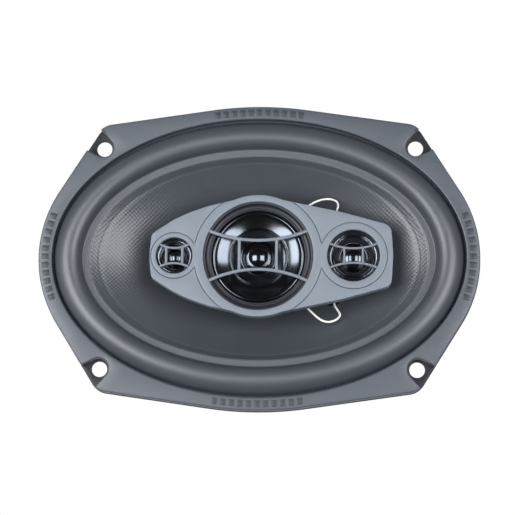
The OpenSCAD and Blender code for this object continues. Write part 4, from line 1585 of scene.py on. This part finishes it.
    def hardware(self) -> None:
        """Makes the pod's screws and soldering pins, with solder round the pins."""
        wing = self.under + 1.0
        screws = Mould()
        for x, y in ((32.5, 14.5), (32.5, -14.5), (-34.0, 11.5), (-34.0, -11.5)):
            head = softened([(0, wing - 0.9), (0.5, wing - 0.9), (0.9, wing - 1.4), (1.7, wing - 1.4),
                             (2.3, wing),
                             (0, wing)], 0.25, 2, closed=False)
            screws.turn(head, 32, closed=False, at=(x, y))
        settle(screws.piece("pod_screw_heads", Look.zinc_steel), Body.FRAME, "pod_screws")
        pins, solder = Mould(), Mould()
        for side in (1, -1):
            at = (26.5, side * 17.5)
            pins.turn(softened([(0, wing), (1.5, wing), (1.5, wing - 1.2), (0.8, wing - 2), (0, wing - 2)],
                               0.2, 2,
                               closed=False), 32, closed=False, at=at)
            solder.turn([(0, wing - 1.1), (1.1, wing - 1.3), (1.15, wing - 1.8), (0.95, wing - 2.5),
                         (0.6, wing - 3.0), (0, wing - 3.2)], 32, closed=False, at=at)
        settle(pins.piece("solder_pins", Look.tinned_brass), Body.FRAME, "pod_lugs")
        settle(solder.piece("solder_joints", Look.solder), Body.FRAME)

    def capacitors(self) -> None:
        """Makes the two crossover capacitors under the pod."""
        for node, look in (("midrange_capacitor", Look.blue_sleeve),
                           ("tweeter_capacitor", Look.black_plastic)):
            low, high = box_mm(node)
            r = (high.y - low.y) / 2
            length = high.x - low.x
            can = [(0, 0), (r - 0.3, 0), (r, 0.5), (r, 1.6), (r - 0.35, 2.1), (r, 2.6), (r, length - 0.6),
                   (r - 0.5, length - 0.2), (r - 0.9, length - 0.2), (r - 1.1, length), (0, length)]
            mould = Mould().turn(softened(can, 0.3, 2, closed=False), 64, closed=False)
            lying = Matrix.Rotation(math.pi / 2, 4, "Y")
            mould.moved(Matrix.Translation((low.x, 0, (low.z + high.z) / 2)) @ lying)
            settle(mould.piece(f"{node}_can", look), Body.FRAME, node)


# ---------------------------------------------------------------- the three small units


@dataclass
class Midrange:
    """The midrange in the middle of the pod: a metallised dish with a pointed dome."""

    def build(self) -> None:
        """Makes the bezel, the dish and its dome."""
        seat = box_mm("midrange_guard")[0].z
        bezel = [(29.1, seat + 1.4), (29.15, seat - 0.02), (30.3, seat - 0.02), (30.3, 2.0), (26.95, 2.0),
                 (26.95, -1.0), (24.75, -1.0), (24.75, 5.4), (25.3, 6.15), (25.8, 6.15), (26.1, 5.7),
                 (27.0, 5.9),
                 (27.7, 6.4), (28.1, 8.2)]
        settle(Mould().turn(softened(bezel, 0.35, 3), 160).piece("stepped_bezel", Look.black_plastic),
               Body.FRAME,
               "midrange_bezel")
        rim = [(24.45, 4.4), (24.4, 5.0), (23.9, 5.45), (23.2, 5.4), (22.7, 4.9)]
        bowl = [(22.7 - 6.6 * k / 8, 4.9 - 2.75 * (k / 8) ** 0.8) for k in range(1, 9)]
        groove = [(15.85, 2.0), (15.7, 1.1), (14.85, 1.08), (14.7, 1.9)]
        inner = [(14.6 - 5.4 * k / 6, 1.95 - 0.42 * math.sin(math.pi * 0.62 * k / 6)) for k in range(7)]
        dome = [(9.0, 1.75), (8.6, 2.1), (8.1, 2.75), (7.2, 3.55), (6.1, 4.15), (5.6, 4.25), (5.2, 4.3),
                (4.9, 4.5),
                (4.1, 5.1), (3.0, 5.7), (2.0, 6.06), (1.0, 6.25), (0.0, 6.3)]
        face = softened([*rim, *bowl, *groove, *inner, *dome], 0.25, 2, closed=False)
        back = [(r, z - 0.35) for r, z in reversed(face)]
        dish = Mould().turn([*face, *back], 160, closed=True)
        settle(dish.piece("midrange_dish", Look.metallised_film, sharp=60), Body.MIDRANGE,
               "midrange_diaphragm")


@dataclass
class Tweeter:
    """A small dome unit: its chromed ring, its black throat and its dome.

    Attributes:
        name: The unit's name.
        at: Its place along the length.
        wall: The radius of the wall inside the guard's ring.
        ring_outer: The chromed ring's outer radius.
        ring_inner: Its inner radius.
        throat: The throat's radius.
        dome_r: The dome's radius.
        dome_rise: The dome's height.
        body: The body that the dome moves with.
    """

    name: str
    at: float
    wall: float
    ring_outer: float
    ring_inner: float
    throat: float
    dome_r: float
    dome_rise: float
    body: Body

    def build(self) -> None:
        """Makes the horn, the chromed ring and the dome."""
        seat = box_mm(f"{self.name}_guard")[0].z
        horn = [(self.wall - 0.2, seat + 1.2), (self.wall - 0.15, seat - 0.02),
                (self.wall + 0.75, seat - 0.02),
                (self.wall + 0.75, 2.0), (self.ring_outer, 2.0), (self.ring_outer - 0.2, 0.6),
                (self.throat, 0.6),
                (self.throat, 2.4), (self.throat + 0.7, 2.9), (self.ring_inner - 0.6, 4.2),
                (self.ring_inner - 0.3, 4.7),
                (self.ring_outer + 0.3, 6.0), (self.wall - 0.7, 7.4)]
        settle(Mould().turn(softened(horn, 0.3, 3), 128, at=(self.at, 0)).piece(
            f"{self.name}_throat", Look.gloss_black), Body.FRAME, f"{self.name}_horn")
        ring = [(self.ring_inner - 0.5, 4.5), (self.ring_inner - 0.2, 5.1), (self.ring_inner + 0.4, 5.8),
                (self.ring_outer - 0.2, 6.6), (self.ring_outer + 0.25, 6.5), (self.ring_outer + 0.3, 5.9)]
        settle(Mould().turn(softened(ring, 0.25, 3), 128, at=(self.at, 0)).piece(
            f"{self.name}_chrome_ring", Look.chromed_plastic), Body.FRAME)
        base = box_mm(f"{self.name}_dome")[0].z
        r, rise = self.dome_r, self.dome_rise
        big = (r * r + rise * rise) / (2 * rise)
        reach = math.degrees(math.asin(r / big))
        cap = [(x, y + base + 0.2 + rise - big) for x, y in arc(0, 0, big, 90 - reach, 90, 14)]
        edge = [(r + 1.0, base), (r + 1.0, base + 0.3), (r + 0.55, base + 0.55), (r + 0.15, base + 0.3)]
        face = edge + cap
        back = [(max(0.0, x - 0.1), z - 0.28) for x, z in reversed(cap)]
        settle(Mould().turn([*face, *back], 96, at=(self.at, 0)).piece(
            f"{self.name}_cap", Look.metallised_film, sharp=60), self.body, f"{self.name}_dome")


# ---------------------------------------------------------------- terminal


@dataclass
class Terminal:
    """The terminal board on the arm, with its two spade tabs."""

    tilt: float = 26.6
    at: tuple[float, float, float] = (76.5, 0.0, -24.6)
    size: tuple[float, float, float] = (26.0, 20.0, 1.6)

    def build(self) -> None:
        """Makes the board, its rivets and the tabs."""
        arm = Matrix.Translation(self.at) @ Matrix.Rotation(math.radians(-self.tilt), 4, "Y")
        length, width, thick = self.size
        corners = [(length / 2, -width / 2), (length / 2, width / 2), (-length / 2, width / 2),
                   (-length / 2, -width / 2)]
        outline = [Vector((x, y, 0)) for x, y in softened(corners, 2.5, 5)]
        board = Mould().slab([outline], -thick, 0.0, soft=0.25)
        settle(board.moved(arm).piece("terminal_plate", Look.board), Body.FRAME, "terminal_board")
        rivets = Mould()
        for x in (-4, 4):
            head = softened([(0, -thick), (2.3, -thick), (1.9, -thick - 0.8), (0.9, -thick - 0.8),
                             (0.6, -thick - 0.3), (0, -thick - 0.3)], 0.2, 2, closed=False)
            rivets.turn(head, 32, closed=False, at=(x, 0))
        settle(rivets.moved(arm).piece("board_rivets", Look.zinc_steel), Body.FRAME, "terminal_rivets")
        for name, y, blade in (("positive", 6.0, 4.8), ("negative", -6.0, 2.8)):
            self.tab(name, y, blade, arm)

    def tab(self, name: str, y: float, blade: float, arm: Matrix) -> None:
        """Makes one bent spade tab.

        Args:
            name: Which tab.
            y: Its place across the board.
            blade: The blade's width.
            arm: The board's place.
        """
        thick = self.size[2]
        foot = blade + 1.2
        outline = softened([(6, -foot / 2), (6, foot / 2), (-6, foot / 2), (-6, -foot / 2)], 0.9, 4)
        mould = Mould().slab([[Vector((x, y + s, 0)) for x, s in outline]], -thick - 0.8, -thick, soft=0.15)
        mould.block((0.8, blade, 5.6), 0.12, Matrix.Translation((5.6, y, -thick - 3.4)))
        tip = [(5.2, -blade / 2), (14.0, -blade / 2), (15.2, -blade / 2 + 0.9), (15.2, blade / 2 - 0.9),
               (14.0, blade / 2), (5.2, blade / 2)]
        hole = [Vector((11.2 + p[0], y + p[1], 0)) for p in arc(0, 0, 0.8, 360, 0, 20)[:-1]]
        edge = [Vector((x, y + s, 0)) for x, s in softened(tip, 0.3, 2)]
        mould.slab([edge, hole], -thick - 6.6, -thick - 5.8, soft=0.15)
        settle(mould.moved(arm).piece(f"{name}_spade", Look.tinned_brass), Body.FRAME, f"{name}_tab")


# ---------------------------------------------------------------- CAD nodes that stay, camera and light


def dress_nodes() -> None:
    """Gives each CAD node that still shows the finish of its own slot."""
    slots = {entry["node"]: entry["material_slot"] for entry in frame["record"]["subparts"]}
    for name, node in frame["nodes"].items():
        node.data.materials.clear()
        node.data.materials.append(material_of(Look[slots[name]]))


@dataclass(frozen=True)
class Softbox:
    """A softbox that faces the speaker.

    Attributes:
        name: Its name.
        aim: Its direction from the speaker: degrees to the right and degrees up.
        distance: How far away it hangs, in metres.
        size: Its width and height, in metres.
        power: Its power, in watts.
        mirrored: False for a fill that glossy surfaces don't mirror.
    """

    name: str
    aim: tuple[float, float]
    distance: float
    size: tuple[float, float]
    power: float
    mirrored: bool = True


@dataclass
class Studio:
    """The camera, the floor and the lights."""

    azimuth: float = 2.629
    lean: float = -10.764
    roll: float = 0.502
    distance: float = 1.0
    lens: float = 130.7
    shift: tuple[float, float] = (-0.00235, 0.00196)
    tint: tuple[float, float, float] = (0.96, 0.985, 1.02)
    sky: tuple[float, float, float, float] = (0.9, 0.95, 1, 1)
    sky_strength: float = 0.045
    floor_half: float = 4000.0
    floor_tone: tuple[float, float, float, float] = (0.55, 0.55, 0.55, 1)
    white: tuple[float, float, float, float] = (1, 1, 1, 1)
    softboxes: Sequence[Softbox] = (
        Softbox("left_softbox", (-33.0, -2.0), 1.1, (0.74, 0.78), 11.2),
        Softbox("right_softbox", (33.0, -2.0), 1.5, (0.98, 1.04), 16.6),
        Softbox("left_fill", (-64.0, -10.0), 1.0, (0.5, 0.5), 5.5, mirrored=False),
        Softbox("right_fill", (64.0, -4.0), 1.2, (0.5, 0.5), 5.5, mirrored=False),
        Softbox("front_fill", (-8.0, -20.0), 2.2, (0.7, 0.7), 5.0, mirrored=False),
    )

    def camera(self) -> None:
        """Places the camera over the speaker."""
        a, e, roll = (math.radians(v) for v in (self.azimuth, self.lean, self.roll))
        back = Vector((math.sin(a) * math.cos(e), math.sin(e), math.cos(a) * math.cos(e)))
        right = Vector((0, 1, 0)).cross(back).normalized()
        up = back.cross(right)
        side = math.cos(roll) * right + math.sin(roll) * up
        top = -math.sin(roll) * right + math.cos(roll) * up
        data = bpy.data.cameras.new("camera")
        data.lens, data.sensor_width, data.clip_end = self.lens, 36.0, 50.0
        data.shift_x, data.shift_y = self.shift
        camera = bpy.data.objects.new("camera", data)
        turn = Matrix((side, top, back)).transposed().to_4x4()
        camera.matrix_world = Matrix.Translation(back * self.distance) @ turn
        bpy.context.scene.collection.objects.link(camera)
        bpy.context.scene.camera = camera

    @staticmethod
    def seen(tree: bpy.types.NodeTree, shown: bpy.types.NodeSocket, other: bpy.types.NodeSocket) -> None:
        """Shows one shader to the camera and another to the light.

        Args:
            tree: The nodes.
            shown: The shader that the camera sees.
            other: The shader that lights and reflections see.
        """
        path, mix = tree.nodes.new("ShaderNodeLightPath"), tree.nodes.new("ShaderNodeMixShader")
        output = next(n for n in tree.nodes if n.type in ("OUTPUT_MATERIAL", "OUTPUT_WORLD"))
        tree.links.new(path.outputs["Is Camera Ray"], mix.inputs["Fac"])
        tree.links.new(other, mix.inputs[1])
        tree.links.new(shown, mix.inputs[2])
        tree.links.new(mix.outputs[0], output.inputs["Surface"])

    def floor(self) -> None:
        """Lays the pale floor that the speaker stands on."""
        mould = Mould()
        bmesh.ops.create_grid(mould.bm, x_segments=1, y_segments=1, size=self.floor_half)
        mould.moved(Matrix.Translation((0, 0, CAD_BOX[0][2] / MM)))
        floor = mould.piece("floor", Look.solder)
        material = bpy.data.materials.new("pale_floor")
        material.use_nodes = True
        tree = material.node_tree
        shader = tree.nodes["Principled BSDF"]
        shader.inputs["Base Color"].default_value = self.floor_tone
        shader.inputs["Roughness"].default_value = 0.8
        white = tree.nodes.new("ShaderNodeEmission")
        white.inputs["Color"].default_value = self.white
        self.seen(tree, white.outputs[0], shader.outputs[0])
        floor.data.materials[0] = material

    def hang(self, softbox: Softbox) -> None:
        """Hangs a softbox.

        Args:
            softbox: The softbox.
        """
        side, rise = (math.radians(v) for v in softbox.aim)
        place = Vector((math.sin(side) * math.cos(rise), math.sin(rise), math.cos(side) * math.cos(rise)))
        data = bpy.data.lights.new(softbox.name, "AREA")
        data.shape, data.energy, data.color = "RECTANGLE", softbox.power, self.tint
        data.size, data.size_y = softbox.size
        lamp = bpy.data.objects.new(softbox.name, data)
        side_axis = Vector((0, 1, 0)).cross(place).normalized()
        turn = Matrix((side_axis, place.cross(side_axis), place)).transposed().to_4x4()
        lamp.matrix_world = Matrix.Translation(place * softbox.distance) @ turn
        lamp.visible_glossy = softbox.mirrored
        bpy.context.scene.collection.objects.link(lamp)

    def backdrop(self) -> None:
        """Makes the world: white to the camera and dim to the light."""
        world = bpy.data.worlds.new("studio")
        world.use_nodes = True
        tree = world.node_tree
        dim, pale = tree.nodes["Background"], tree.nodes.new("ShaderNodeBackground")
        dim.inputs["Color"].default_value = self.sky
        dim.inputs["Strength"].default_value = self.sky_strength
        pale.inputs["Color"].default_value = self.white
        self.seen(tree, pale.outputs[0], dim.outputs[0])
        bpy.context.scene.world = world

    def build(self) -> None:
        """Sets up the studio."""
        self.camera()
        self.floor()
        for softbox in self.softboxes:
            self.hang(softbox)
        self.backdrop()
        bpy.context.scene.view_settings.view_transform = "Standard"


def main() -> None:
    """Builds the speaker and its studio."""
    logging.basicConfig(level=logging.INFO, format="%(name)s: %(message)s")
    for build in (build_grain, build_mottle, build_weave, build_rings, build_soil):
        build()
    Studio().build()
    dress_nodes()
    pod = Pod()
    for assembly in (
        FrontRing(), Basket(), Motor(), ConeAssembly(), pod, Midrange(),
        Tweeter("tweeter", pod.tweeter, wall=14.0, ring_outer=12.2, ring_inner=11.0, throat=8.3, dome_r=7.0,
                dome_rise=3.2, body=Body.TWEETER),
        Tweeter("super_tweeter", pod.super_tweeter, wall=9.7, ring_outer=8.6, ring_inner=7.2, throat=5.8,
                dome_r=4.9, dome_rise=2.6, body=Body.SUPER_TWEETER),
        Terminal(),
    ):
        assembly.build()


if __name__ == "__main__":
    main()
